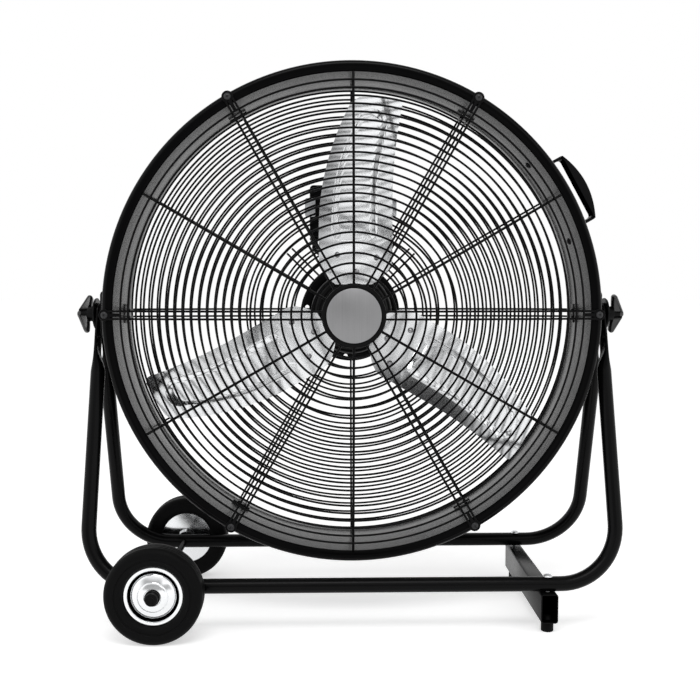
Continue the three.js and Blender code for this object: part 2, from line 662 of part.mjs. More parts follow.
// The steel spider: a hub on the shaft and one arm behind each blade, shaped to its root.
function spider() {
  const front = BLADE_THICKNESS / 2 + SPIDER_GAP;
  const start = SPIDER_HUB_R * 0.6;
  const edges = (r) => {
    const share = (r - start) / (SPIDER_ARM_R - start);
    const half = (SPIDER_ARM_ROOT + (SPIDER_ARM_WIDTH - SPIDER_ARM_ROOT) * share) / 2;
    return [-half, half];
  };
  const armRadii = [start, BLADE_ROOT_R + 2, SPIDER_ARM_R];
  const arm = bladeSheet(armRadii, edges, front, front + SPIDER_THICKNESS, 4);
  const arms = bladeAngles.map((angle) => turned(arm, angle - 90));
  const disc = cylinder(SPIDER_HUB_R, SPIDER_Y - SPIDER_THICKNESS, SPIDER_Y, 18);
  const hub = cylinder(HUB_R, SPIDER_Y - HUB_LENGTH / 2, SPIDER_Y + HUB_LENGTH / 2, 12);
  const bore = cylinder(SHAFT_R + SEAT, SPIDER_Y - HUB_LENGTH, SPIDER_Y + HUB_LENGTH, 12);
  return cut(join(disc, hub, ...arms), bore);
}

function motorShaft() {
  const motorFront = MOTOR_PLATE_Y - MOTOR_PLATE_THICKNESS - SEAT - MOTOR_LENGTH;
  const front = SPIDER_Y - HUB_LENGTH / 2 - SHAFT_NUT_LENGTH;
  return cylinder(SHAFT_R, front, motorFront + SHAFT_INSERT, 12);
}

function shaftNut() {
  const back = SPIDER_Y - HUB_LENGTH / 2 - SEAT;
  const nut = cylinder(SHAFT_NUT_R, back - SHAFT_NUT_LENGTH + SEAT, back, 6);
  return cut(nut, cylinder(SHAFT_R + SEAT, back - 2 * SHAFT_NUT_LENGTH, back + 1, 12));
}

// ---------------------------------------------------------------- control box

function controlBox() {
  const outline = roundedRectangle(BOX_WIDTH, BOX_HEIGHT, BOX_CORNER_R);
  const body = plate(outline, BOX_FRONT_Y, BOX_BACK_Y);
  const socket = cylinder(SPEED_SHAFT_R + RUNNING, BOX_BACK_Y - SPEED_SHAFT_LENGTH, BOX_BACK_Y + 1, 12);
  const cable = cylinder(GLAND_THREAD_R + SEAT, -1, GLAND_THREAD_LENGTH + SEAT, 12)
    .rotateX(Math.PI / 2).translate(GLAND_X, GLAND_Y, -BOX_HEIGHT / 2);
  return cut(body, socket, cable);
}

function boxCover() {
  const outline = roundedRectangle(BOX_WIDTH + 2, BOX_HEIGHT + 2, BOX_CORNER_R);
  return plate(outline, BOX_BACK_Y + SEAT, BOX_BACK_Y + SEAT + BOX_COVER_THICKNESS,
    [[0, 0, SPEED_SHAFT_R + RUNNING]]);
}

// Zinc tab on the box's front, with a stud that rests on one of the rear guard's rings.
function boxTab(side) {
  const back = BOX_FRONT_Y - SEAT;
  const x = (BOX_WIDTH - BOX_TAB_WIDTH) / 2 + BOX_TAB_OVERHANG;
  const ringR = rearRingRadii[BOX_TAB_RING];
  const z = Math.sqrt(ringR ** 2 - x ** 2) - BOX_CENTRE_ABOVE_AXIS;
  const tab = plate(roundedRectangle(BOX_TAB_WIDTH, BOX_TAB_HEIGHT, BOX_TAB_CORNER_R, 2)
    .map(([u, v]) => [u + x, v + z]), back - BOX_TAB_THICKNESS, back);
  const stud = cylinder(BOX_TAB_STUD_R, rearRingY(ringR) + RING_REACH + SEAT, back - SEAT, 8)
    .translate(x, 0, z);
  return join(tab, stud).scale(side, 1, 1);
}

function speedKnob() {
  const face = BOX_BACK_Y + SEAT + BOX_COVER_THICKNESS + RUNNING;
  const skirt = revolve([
    [0, face], [SPEED_KNOB_R, face], [SPEED_KNOB_R, face + SPEED_KNOB_HEIGHT * 0.3],
    [SPEED_KNOB_R * 0.85, face + SPEED_KNOB_HEIGHT * 0.4],
    [SPEED_KNOB_R * 0.85, face + SPEED_KNOB_HEIGHT * 0.45], [0, face + SPEED_KNOB_HEIGHT * 0.45],
  ], 16);
  const grip = plate(roundedRectangle(SPEED_KNOB_R * 0.55, SPEED_KNOB_R * 1.8, SPEED_KNOB_R * 0.2),
    face, face + SPEED_KNOB_HEIGHT);
  const shaft = cylinder(SPEED_SHAFT_R, BOX_BACK_Y - SPEED_SHAFT_LENGTH + RUNNING, face + 1, 12);
  return join(skirt, grip, shaft);
}

// Cable gland screwed into the bottom of the box.
function cableGland() {
  return revolve([
    [0, GLAND_THREAD_LENGTH], [GLAND_THREAD_R, GLAND_THREAD_LENGTH], [GLAND_THREAD_R, -SEAT],
    [GLAND_R, -SEAT], [GLAND_R, -SEAT - GLAND_LENGTH * 0.35],
    [GLAND_R * 0.85, -SEAT - GLAND_LENGTH * 0.4], [GLAND_R * 0.85, -SEAT - GLAND_LENGTH * 0.8],
    [GLAND_R * 0.6, -SEAT - GLAND_LENGTH], [0, -SEAT - GLAND_LENGTH],
  ], 10).rotateX(Math.PI / 2).translate(GLAND_X, GLAND_Y, -BOX_HEIGHT / 2);
}

// The lead from the gland, between two rings of the rear guard, to the side of the motor.
function motorLead() {
  const gap = (rearRingRadii[0] + rearRingRadii[1]) / 2;
  const through = [gap * Math.cos(radians(LEAD_ANGLE)), gap * Math.sin(radians(LEAD_ANGLE))];
  const motorSide = MOTOR_R + SEAT;
  const entry = [motorSide * Math.cos(radians(LEAD_ANGLE)), motorSide * Math.sin(radians(LEAD_ANGLE))];
  const guardY = rearRingY(gap);
  const start = BOX_BOTTOM_Z - SEAT - GLAND_LENGTH - SEAT;
  const curve = new THREE.CatmullRomCurve3([
    new THREE.Vector3(GLAND_X, GLAND_Y, start),
    new THREE.Vector3(GLAND_X, GLAND_Y, start - 5),
    new THREE.Vector3(through[0], guardY + 9, through[1]),
    new THREE.Vector3(through[0], guardY, through[1]),
    new THREE.Vector3(through[0], guardY - 9, through[1]),
    new THREE.Vector3(entry[0] * 1.2, guardY - 22, entry[1] * 1.2),
    new THREE.Vector3(entry[0], guardY - 25, entry[1]),
  ]);
  const section = new THREE.Shape(arc(0, 0, LEAD_R, 0, 360, 8).slice(0, -1)
    .map(([u, v]) => new THREE.Vector2(u, v)));
  return closed(new THREE.ExtrudeGeometry(section, { steps: 12, extrudePath: curve }));
}

// ---------------------------------------------------------------- carry handle

// A crescent grip on two legs, with feet that follow the drum's wall. Its middle is on the +X side.
function carryHandle() {
  const seat = DRUM_OUTER_R + SEAT;
  const onWall = (z, height) => [Math.sqrt(seat ** 2 - z ** 2) + height, z];
  const footEnd = (HANDLE_SCREW_SPAN + HANDLE_FOOT_LENGTH) / 2;
  const outerHalf = (HANDLE_SCREW_SPAN - HANDLE_FOOT_LENGTH) / 2;
  const innerHalf = outerHalf - HANDLE_LEG;
  const grip = seat + HANDLE_GRIP_CLEARANCE;
  const crown = HANDLE_GRIP_MIDDLE - HANDLE_GRIP_END;
  const half = [
    [grip, innerHalf],
    onWall(innerHalf, 0),
    onWall(HANDLE_SCREW_SPAN / 2, 0),
    onWall(footEnd, 0),
    onWall(footEnd, HANDLE_FOOT_THICKNESS),
    onWall(outerHalf, HANDLE_FOOT_THICKNESS),
  ];
  const crest = Array.from({ length: HANDLE_STEPS + 1 }, (_, i) => {
    const share = 1 - (2 * i) / HANDLE_STEPS;
    return [grip + HANDLE_GRIP_END + crown * (1 - share ** 2), share * outerHalf];
  });
  const outline = [...half, ...crest, ...half.map(([x, z]) => [x, -z]).reverse()];
  const bow = plate(outline, -HANDLE_WIDTH / 2, HANDLE_WIDTH / 2);
  const end = seat + HANDLE_FOOT_THICKNESS * 0.8;
  const holes = [-1, 1].map((side) => turned(radialHole(DRUM_OUTER_R - 5, end), side * HANDLE_SCREW_ANGLE));
  return turned(cut(bow, ...holes), HANDLE_ANGLE);
}

function radialHole(from, to) {
  return cylinder(SCREW_R + SEAT, from, to, SCREW_SIDES).rotateZ(-Math.PI / 2);
}

// Screw from inside the drum, through its wall, into a foot of the handle.
function handleScrew(angle) {
  const head = DRUM_INNER_R * Math.cos(Math.PI / DRUM_SEGMENTS) - SEAT;
  const tip = DRUM_OUTER_R + SEAT + HANDLE_FOOT_THICKNESS * 0.8 - SEAT;
  const screw = revolve([
    [0, head - SCREW_HEAD_HEIGHT], [SCREW_HEAD_R * 0.6, head - SCREW_HEAD_HEIGHT],
    [SCREW_HEAD_R, head - SCREW_HEAD_HEIGHT / 2], [SCREW_HEAD_R, head], [SCREW_R, head],
    [SCREW_R, tip], [0, tip],
  ], SCREW_SIDES).rotateZ(-Math.PI / 2);
  return turned(screw, angle);
}

// ---------------------------------------------------------------- stand

// A bent tube, its ends flattened into round-ended paddles that hang on the pivots.
function standFrame(side) {
  const run = Math.hypot(STAND_HALF_DEPTH, AXIS_HEIGHT - TUBE_HEIGHT);
  const down = new THREE.Vector3(0, (side * STAND_HALF_DEPTH) / run, (TUBE_HEIGHT - AXIS_HEIGHT) / run);
  const across = new THREE.Vector3(1, 0, 0).cross(down);
  const paddleX = LEG_CENTRE_X - (side * (PADDLE_THICKNESS + SEAT)) / 2;
  const paddleHalf = PADDLE_WIDTH / 2;
  const stations = [
    ...[75, 45, 20].map((angle) => [paddleX, -paddleHalf * Math.sin(radians(angle)),
      paddleHalf * Math.cos(radians(angle)), 1]),
    [paddleX, 0, paddleHalf, 1],
    [paddleX, PADDLE_LENGTH, paddleHalf, 1],
    [(paddleX + LEG_CENTRE_X) / 2, PADDLE_LENGTH + PADDLE_TAPER / 2, (paddleHalf + TUBE_R) / 2, 0.45],
    [LEG_CENTRE_X, PADDLE_LENGTH + PADDLE_TAPER, TUBE_R, 0],
    ...arc(LEG_CENTRE_X - BEND_R, run - BEND_R, BEND_R, 0, 90, BEND_STEPS).map(([x, w]) => [x, w, TUBE_R, 0]),
  ];
  const whole = [...stations, ...stations.slice().reverse().map(([x, ...rest]) => [-x, ...rest])];
  const path = whole.map(([x, w]) => new THREE.Vector3(x, 0, AXIS_HEIGHT).addScaledVector(down, w));
  const bar = frameSkin(path, across, whole);
  const pivot = cylinder(STUD_R + RUNNING, -LEG_CENTRE_X - 20, LEG_CENTRE_X + 20, 12)
    .rotateZ(Math.PI / 2).translate(0, 0, AXIS_HEIGHT);
  const y = side * STAND_HALF_DEPTH;
  const axle = cylinder(AXLE_R + SEAT, y - 2 * TUBE_R, y + 2 * TUBE_R, 12).translate(WHEEL_X, 0, TUBE_HEIGHT);
  const bolt = cylinder(FOOT_BOLT_R + SEAT, -2 * TUBE_R, 2 * TUBE_R, 8).rotateX(Math.PI / 2)
    .translate(FOOT_BAR_X, y, TUBE_HEIGHT);
  return cut(bar, pivot, axle, bolt);
}

// Rings of points along the frame: round on the tube, a flat stadium on the paddles.
function frameSkin(path, across, stations) {
  return loft(path.map((point, i) => {
    const after = path[Math.min(i + 1, path.length - 1)];
    const before = path[Math.max(i - 1, 0)];
    const along = after.clone().sub(before).normalize();
    const inPlane = new THREE.Vector3().crossVectors(across, along).normalize();
    const [, , halfWidth, flat] = stations[i];
    const depth = flat > 0 ? TUBE_R + (PADDLE_THICKNESS / 2 - TUBE_R) * flat : TUBE_R;
    const square = 1 - 0.62 * flat;
    return arc(0, 0, 1, 22.5, 382.5, TUBE_SIDES).slice(0, -1).map(([u, v]) => point.clone()
      .addScaledVector(inPlane, Math.sign(u) * Math.abs(u) ** square * depth)
      .addScaledVector(across, v * halfWidth));
  }));
}

// A welded sheet bracket that stands off the drum's wall and carries the pivot stud.
function pivotBracket(side) {
  const foot = DRUM_OUTER_R + SEAT;
  const halfHeight = BRACKET_HEIGHT / 2;
  const spread = THREE.MathUtils.radToDeg(Math.asin(halfHeight / foot));
  const outline = [
    ...arc(0, 0, foot, -spread, spread, 4),
    [foot, halfHeight],
    [BRACKET_FACE_X, halfHeight - BRACKET_SLOPE],
    [BRACKET_FACE_X, -halfHeight + BRACKET_SLOPE],
    [foot, -halfHeight],
  ];
  const block = plate(outline, -BRACKET_WIDTH / 2, BRACKET_WIDTH / 2);
  const inside = [
    [foot + BRACKET_SHEET, halfHeight - BRACKET_SLOPE - BRACKET_SHEET],
    [BRACKET_FACE_X - BRACKET_SHEET, halfHeight - BRACKET_SLOPE - BRACKET_SHEET],
    [BRACKET_FACE_X - BRACKET_SHEET, -halfHeight + BRACKET_SLOPE + BRACKET_SHEET],
    [foot + BRACKET_SHEET, -halfHeight + BRACKET_SLOPE + BRACKET_SHEET],
  ];
  const window = plate(inside, -BRACKET_WIDTH, BRACKET_WIDTH);
  const bore = cylinder(STUD_R + RUNNING, BRACKET_FACE_X - 2 * BRACKET_SHEET, BRACKET_FACE_X + 1, 12)
    .rotateZ(-Math.PI / 2);
  return cut(block, window, bore).scale(side, 1, 1);
}

function pivotWasher(side) {
  const face = PADDLE_FACE_X + SEAT;
  return revolve([
    [STUD_R + RUNNING, face], [PIVOT_WASHER_R, face],
    [PIVOT_WASHER_R, face + PIVOT_WASHER_THICKNESS * 0.6],
    [PIVOT_WASHER_R - 2, face + PIVOT_WASHER_THICKNESS],
    [STUD_R + RUNNING, face + PIVOT_WASHER_THICKNESS],
  ], 16).rotateZ(-Math.PI / 2).scale(side, 1, 1);
}

// Clamping knob: two wings swept back from a blunt tip, on a boss with the threaded stud.
function pivotKnob(side) {
  const base = KNOB_FACE_X;
  const half = KNOB_WING / 2;
  const blunt = KNOB_BOSS_R * 0.45;
  const upper = [
    [base + KNOB_WING_BACK, KNOB_BOSS_R * 0.8],
    [base + KNOB_WING_BACK - 0.5, half - 2],
    [base + KNOB_WING_BACK + 1.5, half],
    [base + KNOB_WING_BACK + KNOB_WING_TIP - 2, half - 0.5],
    [base + KNOB_WING_BACK + KNOB_WING_TIP, half - 2.5],
    [base + KNOB_REACH - 1, blunt + 1],
    [base + KNOB_REACH, blunt],
  ];
  const outline = [...upper, ...upper.map(([x, z]) => [x, -z]).reverse()];
  const core = plate(outline, -KNOB_THICKNESS / 2, KNOB_THICKNESS / 2);
  const boss = revolve([
    [0, base], [KNOB_BOSS_R, base], [KNOB_BOSS_R * 0.92, base + KNOB_WING_BACK + 6],
    [0, base + KNOB_WING_BACK + 6],
  ], 16).rotateZ(-Math.PI / 2);
  const stud = cylinder(STUD_R, BRACKET_FACE_X - 3 * BRACKET_SHEET, base + 1, 12).rotateZ(-Math.PI / 2);
  return join(core, boss, stud).scale(side, 1, 1);
}

// ---------------------------------------------------------------- wheels and feet

// Profiles are given as [radius, distance out from the wheel's inner face].
function wheelPiece(profile, side) {
  const inner = STAND_HALF_DEPTH + TUBE_R + WHEEL_GAP;
  return revolve(profile.map(([r, out]) => [r, side * (inner + out)]), WHEEL_SEGMENTS)
    .translate(WHEEL_X, 0, TUBE_HEIGHT);
}

function tyre(side) {
  const shoulder = WHEEL_WIDTH * 0.24;
  return wheelPiece([
    [WHEEL_RIM_R + SEAT, 5], [WHEEL_RIM_R + 4, 2], [WHEEL_R - shoulder, 0],
    ...arc(WHEEL_R - shoulder, shoulder, shoulder, -60, 0, 2),
    ...arc(WHEEL_R - shoulder, WHEEL_WIDTH - shoulder, shoulder, 0, 60, 2),
    [WHEEL_R - shoulder, WHEEL_WIDTH],
    [WHEEL_RIM_R + 4, WHEEL_WIDTH - 2], [WHEEL_RIM_R + SEAT, WHEEL_WIDTH - 5],
  ], side);
}

// Plated wheel centre: an outer ring, a deep groove and a domed cap, on a boss beside the tube.
function wheelHub(side) {
  const rimFace = WHEEL_WIDTH - WHEEL_RIM_INSET;
  return wheelPiece([
    [AXLE_R + RUNNING, SEAT - WHEEL_GAP], [AXLE_R + 7, SEAT - WHEEL_GAP], [AXLE_R + 9, 6],
    [WHEEL_RIM_R, 6],
    [WHEEL_RIM_R, rimFace], [WHEEL_CAP_R + 3.5, rimFace],
    [WHEEL_CAP_R + 3, rimFace - 9], [WHEEL_CAP_R, rimFace - 9], [WHEEL_CAP_R, rimFace - 3],
    [WHEEL_CAP_R * 0.75, rimFace + 2], [AXLE_NUT_R, rimFace + 5],
    [AXLE_R + RUNNING, rimFace + 5],
  ], side);
}

function wheelAxle() {
  const end = AXLE_NUT_Y + AXLE_NUT_LENGTH * 0.6;
  return cylinder(AXLE_R, -end, end, 12).translate(WHEEL_X, 0, TUBE_HEIGHT);
}

function axleNut(side) {
  const base = AXLE_NUT_Y;
  const bore = base + AXLE_NUT_LENGTH * 0.6 + SEAT;
  return revolve([
    [AXLE_R + SEAT, base], [AXLE_NUT_R, base], [AXLE_NUT_R, base + AXLE_NUT_LENGTH * 0.55],
    [AXLE_NUT_R * 0.75, base + AXLE_NUT_LENGTH * 0.9], [0, base + AXLE_NUT_LENGTH],
    [0, bore], [AXLE_R + SEAT, bore],
  ], 12).scale(1, side, 1).translate(WHEEL_X, 0, TUBE_HEIGHT);
}

// Rectangular tube under both bottom tubes, open at its ends.
function footBar() {
  const outer = roundedRectangle(FOOT_BAR_WIDTH, FOOT_BAR_HEIGHT, 2 * FOOT_BAR_WALL, 2);
  const inner = roundedRectangle(
    FOOT_BAR_WIDTH - 2 * FOOT_BAR_WALL, FOOT_BAR_HEIGHT - 2 * FOOT_BAR_WALL, FOOT_BAR_WALL, 1);
  const reach = STAND_HALF_DEPTH + FOOT_BAR_OVERHANG;
  const tube = cut(plate(outer, -reach, reach), plate(inner, -reach - 1, reach + 1))
    .translate(FOOT_BAR_X, 0, FOOT_BAR_TOP - FOOT_BAR_HEIGHT / 2);
  const holes = [-1, 1].flatMap((side) => {
    const y = side * STAND_HALF_DEPTH;
    const down = cylinder(FOOT_BOLT_R + SEAT, -6, 6, 8).rotateX(Math.PI / 2);
    const plug = cylinder(FOOT_PLUG_R + SEAT, -6, 6, 8).rotateX(Math.PI / 2);
    return [down.translate(FOOT_BAR_X, y, FOOT_BAR_TOP),
      plug.translate(FOOT_BAR_X, y, FOOT_BAR_TOP - FOOT_BAR_HEIGHT)];
  });
  return cut(tube, ...holes);
}

function rubberFoot(side) {
  const top = FOOT_BAR_TOP - FOOT_BAR_HEIGHT - SEAT;
  return revolve([
    [0, 0], [FOOT_R - 1.5, 0], [FOOT_R, 1.5], [FOOT_R, top], [FOOT_PLUG_R, top],
    [FOOT_PLUG_R, top + FOOT_BAR_WALL + 2 * SEAT], [FOOT_PLUG_R + 1.5, top + FOOT_BAR_WALL + 2 * SEAT],
    [FOOT_PLUG_R, top + FOOT_BAR_WALL + 5], [0, top + FOOT_BAR_WALL + 5],
  ], 10).rotateX(Math.PI / 2).translate(FOOT_BAR_X, side * STAND_HALF_DEPTH, 0);
}

// Bolt through the tube and the top of the foot bar, with its nut inside the bar.
function footBolt(side) {
  const top = TUBE_HEIGHT + TUBE_R + SEAT;
  const under = FOOT_BAR_TOP - FOOT_BAR_WALL - SEAT;
  return revolve([
    [0, top + 3.5], [FOOT_BOLT_R + 1.5, top + 3.5], [FOOT_BOLT_R + 3, top + 1.5], [FOOT_BOLT_R + 3, top],
    [FOOT_BOLT_R, top], [FOOT_BOLT_R, under], [FOOT_BOLT_R + 2.6, under],
    [FOOT_BOLT_R + 2.6, under - 5], [0, under - 5],
  ], 8).rotateX(Math.PI / 2).translate(FOOT_BAR_X, side * STAND_HALF_DEPTH, 0);
}

// ---------------------------------------------------------------- assembly

const fan = new THREE.Group();
const stand = new THREE.Group();
const drum = new THREE.Group();
const rotor = new THREE.Group();
const box = new THREE.Group();
fan.add(stand, drum);
drum.add(rotor, box);
drum.position.z = AXIS_HEIGHT;
box.position.z = BOX_CENTRE_ABOVE_AXIS;

stand.add(mesh('front_frame', standFrame(-1), POWDER_BLACK));
stand.add(mesh('rear_frame', standFrame(1), POWDER_BLACK));
stand.add(mesh('wheel_axle', wheelAxle(), ZINC));
stand.add(mesh('foot_bar', footBar(), POWDER_BLACK));
[['front', -1], ['rear', 1]].forEach(([place, side]) => {
  stand.add(mesh(`tyre_${place}`, tyre(side), RUBBER));
  stand.add(mesh(`wheel_hub_${place}`, wheelHub(side), CHROME));
  stand.add(mesh(`axle_nut_${place}`, axleNut(side), PLASTIC_BLACK));
  stand.add(mesh(`rubber_foot_${place}`, rubberFoot(side), RUBBER));
  stand.add(mesh(`foot_bolt_${place}`, footBolt(side), ZINC));
});
[['left', -1], ['right', 1]].forEach(([place, side]) => {
  const washer = mesh(`pivot_washer_${place}`, pivotWasher(side), POWDER_BLACK);
  const knob = mesh(`pivot_knob_${place}`, pivotKnob(side), PLASTIC_BLACK);
  washer.position.z = AXIS_HEIGHT;
  knob.position.z = AXIS_HEIGHT;
  stand.add(washer, knob);
  drum.add(mesh(`pivot_bracket_${place}`, pivotBracket(side), POWDER_BLACK));
  box.add(mesh(`box_tab_${place}`, boxTab(side), ZINC));
});

drum.add(mesh('drum_shell', drumShell(), POWDER_BLACK));
drum.add(mesh('front_guard', frontGuard(), WIRE_BLACK));
drum.add(mesh('guard_hub_cap', guardHubCap(), PLASTIC_BLACK));
drum.add(mesh('hub_badge', hubBadge(), BADGE_GREY));
drum.add(mesh('rear_guard', rearGuard(), WIRE_BLACK));
pairAngles.forEach((angle, i) => drum.add(mesh(`guard_screw_${i + 1}`, guardScrew(angle), ZINC)));
drum.add(mesh('motor_plate', motorPlate(), MOTOR_BLACK));
drum.add(mesh('motor_body', motorBody(), MOTOR_BLACK));
drum.add(mesh('motor_lead', motorLead(), PLASTIC_BLACK));
drum.add(mesh('carry_handle', carryHandle(), PLASTIC_BLACK));
handleScrewAngles.forEach((angle, i) => drum.add(mesh(`handle_screw_${i + 1}`, handleScrew(angle), ZINC)));

box.add(mesh('control_box', controlBox(), PLASTIC_BLACK));
box.add(mesh('control_box_cover', boxCover(), PLASTIC_BLACK));
box.add(mesh('speed_knob', speedKnob(), PLASTIC_BLACK));
box.add(mesh('cable_gland', cableGland(), PLASTIC_BLACK));

const bladeShape = blade();
bladeAngles.forEach((angle, i) => {
  rotor.add(mesh(`blade_${i + 1}`, turned(bladeShape, angle - 90), ALUMINIUM));
});
rotor.add(mesh('blade_spider', spider(), MOTOR_BLACK));
rotor.add(mesh('motor_shaft', motorShaft(), ZINC));
rotor.add(mesh('shaft_nut', shaftNut(), ZINC));

export default fan;
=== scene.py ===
from math import asin, atan, copysign, cos, degrees, hypot, pi, radians, sin, sqrt, tan, tau

import bmesh
import bpy
from mathutils import Matrix, Vector


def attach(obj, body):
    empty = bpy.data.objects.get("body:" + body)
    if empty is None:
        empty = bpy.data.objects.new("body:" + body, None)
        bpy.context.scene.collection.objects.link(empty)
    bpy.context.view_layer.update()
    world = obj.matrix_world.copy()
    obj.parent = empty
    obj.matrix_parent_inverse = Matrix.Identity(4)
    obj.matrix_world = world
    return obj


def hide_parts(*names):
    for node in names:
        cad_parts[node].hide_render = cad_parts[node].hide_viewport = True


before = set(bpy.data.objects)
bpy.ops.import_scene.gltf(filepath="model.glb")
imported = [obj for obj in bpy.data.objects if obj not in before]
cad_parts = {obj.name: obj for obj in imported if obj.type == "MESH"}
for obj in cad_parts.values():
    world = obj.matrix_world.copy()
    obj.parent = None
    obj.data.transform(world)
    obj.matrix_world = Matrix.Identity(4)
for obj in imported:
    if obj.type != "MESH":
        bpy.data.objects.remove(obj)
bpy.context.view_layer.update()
scene = bpy.context.scene

# ---------------------------------------------------------------- camera, floor and light
# The fan stands on a white sweep in a white room. The camera is at the height of the drum's
# axis, a little to the left, and looks slightly down, with the sight lines converging.

CAMERA_PLACE = (-0.031, -1.256, 0.4385)
CAMERA_DOWN = radians(3.83)
CAMERA_TO_THE_RIGHT = radians(1.28)
CAMERA_LENS = 47.31
SENSOR_WIDTH = 36
SIGHT_END = 100

camera = bpy.data.objects.new("camera", bpy.data.cameras.new("camera"))
camera.location = CAMERA_PLACE
camera.rotation_euler = (pi / 2 - CAMERA_DOWN, 0, -CAMERA_TO_THE_RIGHT)
camera.data.lens = CAMERA_LENS
camera.data.sensor_width = SENSOR_WIDTH
camera.data.clip_end = SIGHT_END
scene.collection.objects.link(camera)
scene.camera = camera
scene.view_settings.view_transform = "Standard"


def empty_tree(owner):
    owner.use_nodes = True
    owner.node_tree.nodes.clear()
    return owner.node_tree


def add_node(tree, kind, inputs=None, **settings):
    """A node with its settings, and each input either a value or the socket that feeds it."""
    node = tree.nodes.new(kind)
    for name, value in settings.items():
        setattr(node, name, value)
    for name, value in (inputs or {}).items():
        if isinstance(value, bpy.types.NodeSocket):
            tree.links.new(value, node.inputs[name])
        else:
            node.inputs[name].default_value = value
    return node


def feed(tree, kind, inputs=None, **settings):
    """The first output of a new node."""
    return add_node(tree, kind, inputs, **settings).outputs[0]


def math_node(tree, operation, first, second=0.0, clamp=False):
    return feed(tree, "ShaderNodeMath", {0: first, 1: second}, operation=operation, use_clamp=clamp)


def ranged(tree, value, start, end, low, high, shape="LINEAR"):
    """low where the value is at start or under it, high where it is at end or over it."""
    return feed(tree, "ShaderNodeMapRange", {
        "Value": value, "From Min": start, "From Max": end, "To Min": low, "To Max": high},
        interpolation_type=shape)


def is_ray(tree, *kinds):
    """1 for light paths of these kinds, and 0 for all others."""
    path = add_node(tree, "ShaderNodeLightPath")
    share = 0.0
    for kind in kinds:
        share = math_node(tree, "ADD", share, path.outputs[f"Is {kind} Ray"], True)
    return share


# The room that reflections see: bright walls, dimmer where the camera stands and with a bright
# band low on its right, a dark ceiling and a dark corner. The light on the fan itself is even.
ROOM_LIGHT = 0.62
CAMERA_SIDE = 0.48
BRIGHT_BAND = 1.6
UPPER_WALL = 1.1
SIDE_WALL = 1.35
CEILING = 0.06
CEILING_BEHIND = 0.35
room = bpy.data.worlds.new("white_room")
room_tree = empty_tree(room)
room_x, room_y, room_z = add_node(room_tree, "ShaderNodeSeparateXYZ", {
    0: add_node(room_tree, "ShaderNodeTexCoord").outputs["Generated"]}).outputs


def room_math(operation, first, second=0.0):
    return math_node(room_tree, operation, first, second)


def room_share(value, start, end, low=0.0, high=1.0):
    return ranged(room_tree, value, start, end, low, high, "SMOOTHSTEP")


def room_mix(share, first, second):
    return ranged(room_tree, share, 0.0, 1.0, first, second)


beside = room_share(room_math("ABSOLUTE", room_x), 0.44, 0.70)
behind = room_share(room_y, -0.30, 0.25)
band = room_share(room_x, 0.12, 0.28, CAMERA_SIDE, BRIGHT_BAND)
lower_wall = room_mix(room_share(room_z, 0.15, 0.27), CAMERA_SIDE, band)
camera_wall = room_mix(room_share(room_z, 0.30, 0.50), lower_wall, UPPER_WALL)
walls = room_mix(room_math("MAXIMUM", beside, behind), camera_wall, SIDE_WALL)
ceiling = room_math("MULTIPLY", room_share(room_z, 0.74, 0.80), room_mix(behind, 1.0, CEILING_BEHIND))
corner_high = room_math("MULTIPLY", room_share(room_math("ADD", room_x, room_z), 1.215, 1.25),
                        room_share(room_z, 0.55, 0.66))
corner = room_math("MULTIPLY", corner_high, room_share(room_x, 0.555, 0.605))
mirrored = room_mix(room_math("MAXIMUM", ceiling, corner), walls, CEILING)
lit = room_mix(is_ray(room_tree, "Glossy"), ROOM_LIGHT, mirrored)
room_glow = room_mix(is_ray(room_tree, "Camera", "Transmission"), lit, 1.0)
add_node(room_tree, "ShaderNodeOutputWorld", {"Surface": feed(
    room_tree, "ShaderNodeBackground", {"Color": (1, 1, 1, 1), "Strength": room_glow})})
scene.world = room

FLOOR_PAINT = (0.86, 0.86, 0.86, 1)
FLOOR_GLOW = 0.48
FLOOR_HALF = 30
floor_finish = bpy.data.materials.new("white_floor")
floor_tree = empty_tree(floor_finish)
floor_seen = is_ray(floor_tree, "Camera", "Glossy", "Transmission")
floor_glow = feed(floor_tree, "ShaderNodeEmission", {
    "Color": (1, 1, 1, 1), "Strength": math_node(floor_tree, "MULTIPLY", floor_seen, FLOOR_GLOW)})
floor_paint = feed(floor_tree, "ShaderNodeBsdfDiffuse", {"Color": FLOOR_PAINT})
add_node(floor_tree, "ShaderNodeOutputMaterial", {
    "Surface": feed(floor_tree, "ShaderNodeAddShader", {0: floor_paint, 1: floor_glow})})
floor_mesh = bpy.data.meshes.new("floor")
floor_mesh.from_pydata([(x * FLOOR_HALF, y * FLOOR_HALF, 0)
                        for x, y in ((-1, -1), (1, -1), (1, 1), (-1, 1))], [], [(0, 1, 2, 3)])
floor_mesh.materials.append(floor_finish)
floor = bpy.data.objects.new("floor", floor_mesh)
scene.collection.objects.link(floor)


def softbox(name, place, aim, width, height, power, mirrored=True):
    light = bpy.data.lights.new(name, "AREA")
    light.shape = "RECTANGLE"
    light.size, light.size_y, light.energy = width, height, power
    lamp = bpy.data.objects.new(name, light)
    lamp.location = place
    lamp.rotation_euler = (Vector(aim) - Vector(place)).to_track_quat("-Z", "Y").to_euler()
    lamp.visible_glossy = mirrored
    scene.collection.objects.link(lamp)


softbox("top_softbox", (0.0, -1.3, 2.2), (0, 0, 0.3), 1.3, 0.8, 17)
softbox("left_softbox", (-2.0, -1.6, 1.2), (0, 0, 0.4), 2.0, 2.2, 14, False)
softbox("right_softbox", (2.1, -1.2, 1.1), (0, 0, 0.4), 1.8, 2.0, 10, False)

# ---------------------------------------------------------------- finishes
# Three groups draw what the finishes share: a sprayed or moulded skin, settled dust, and rolled
# sheet metal. Each finish mixes its shades and roughness from them.


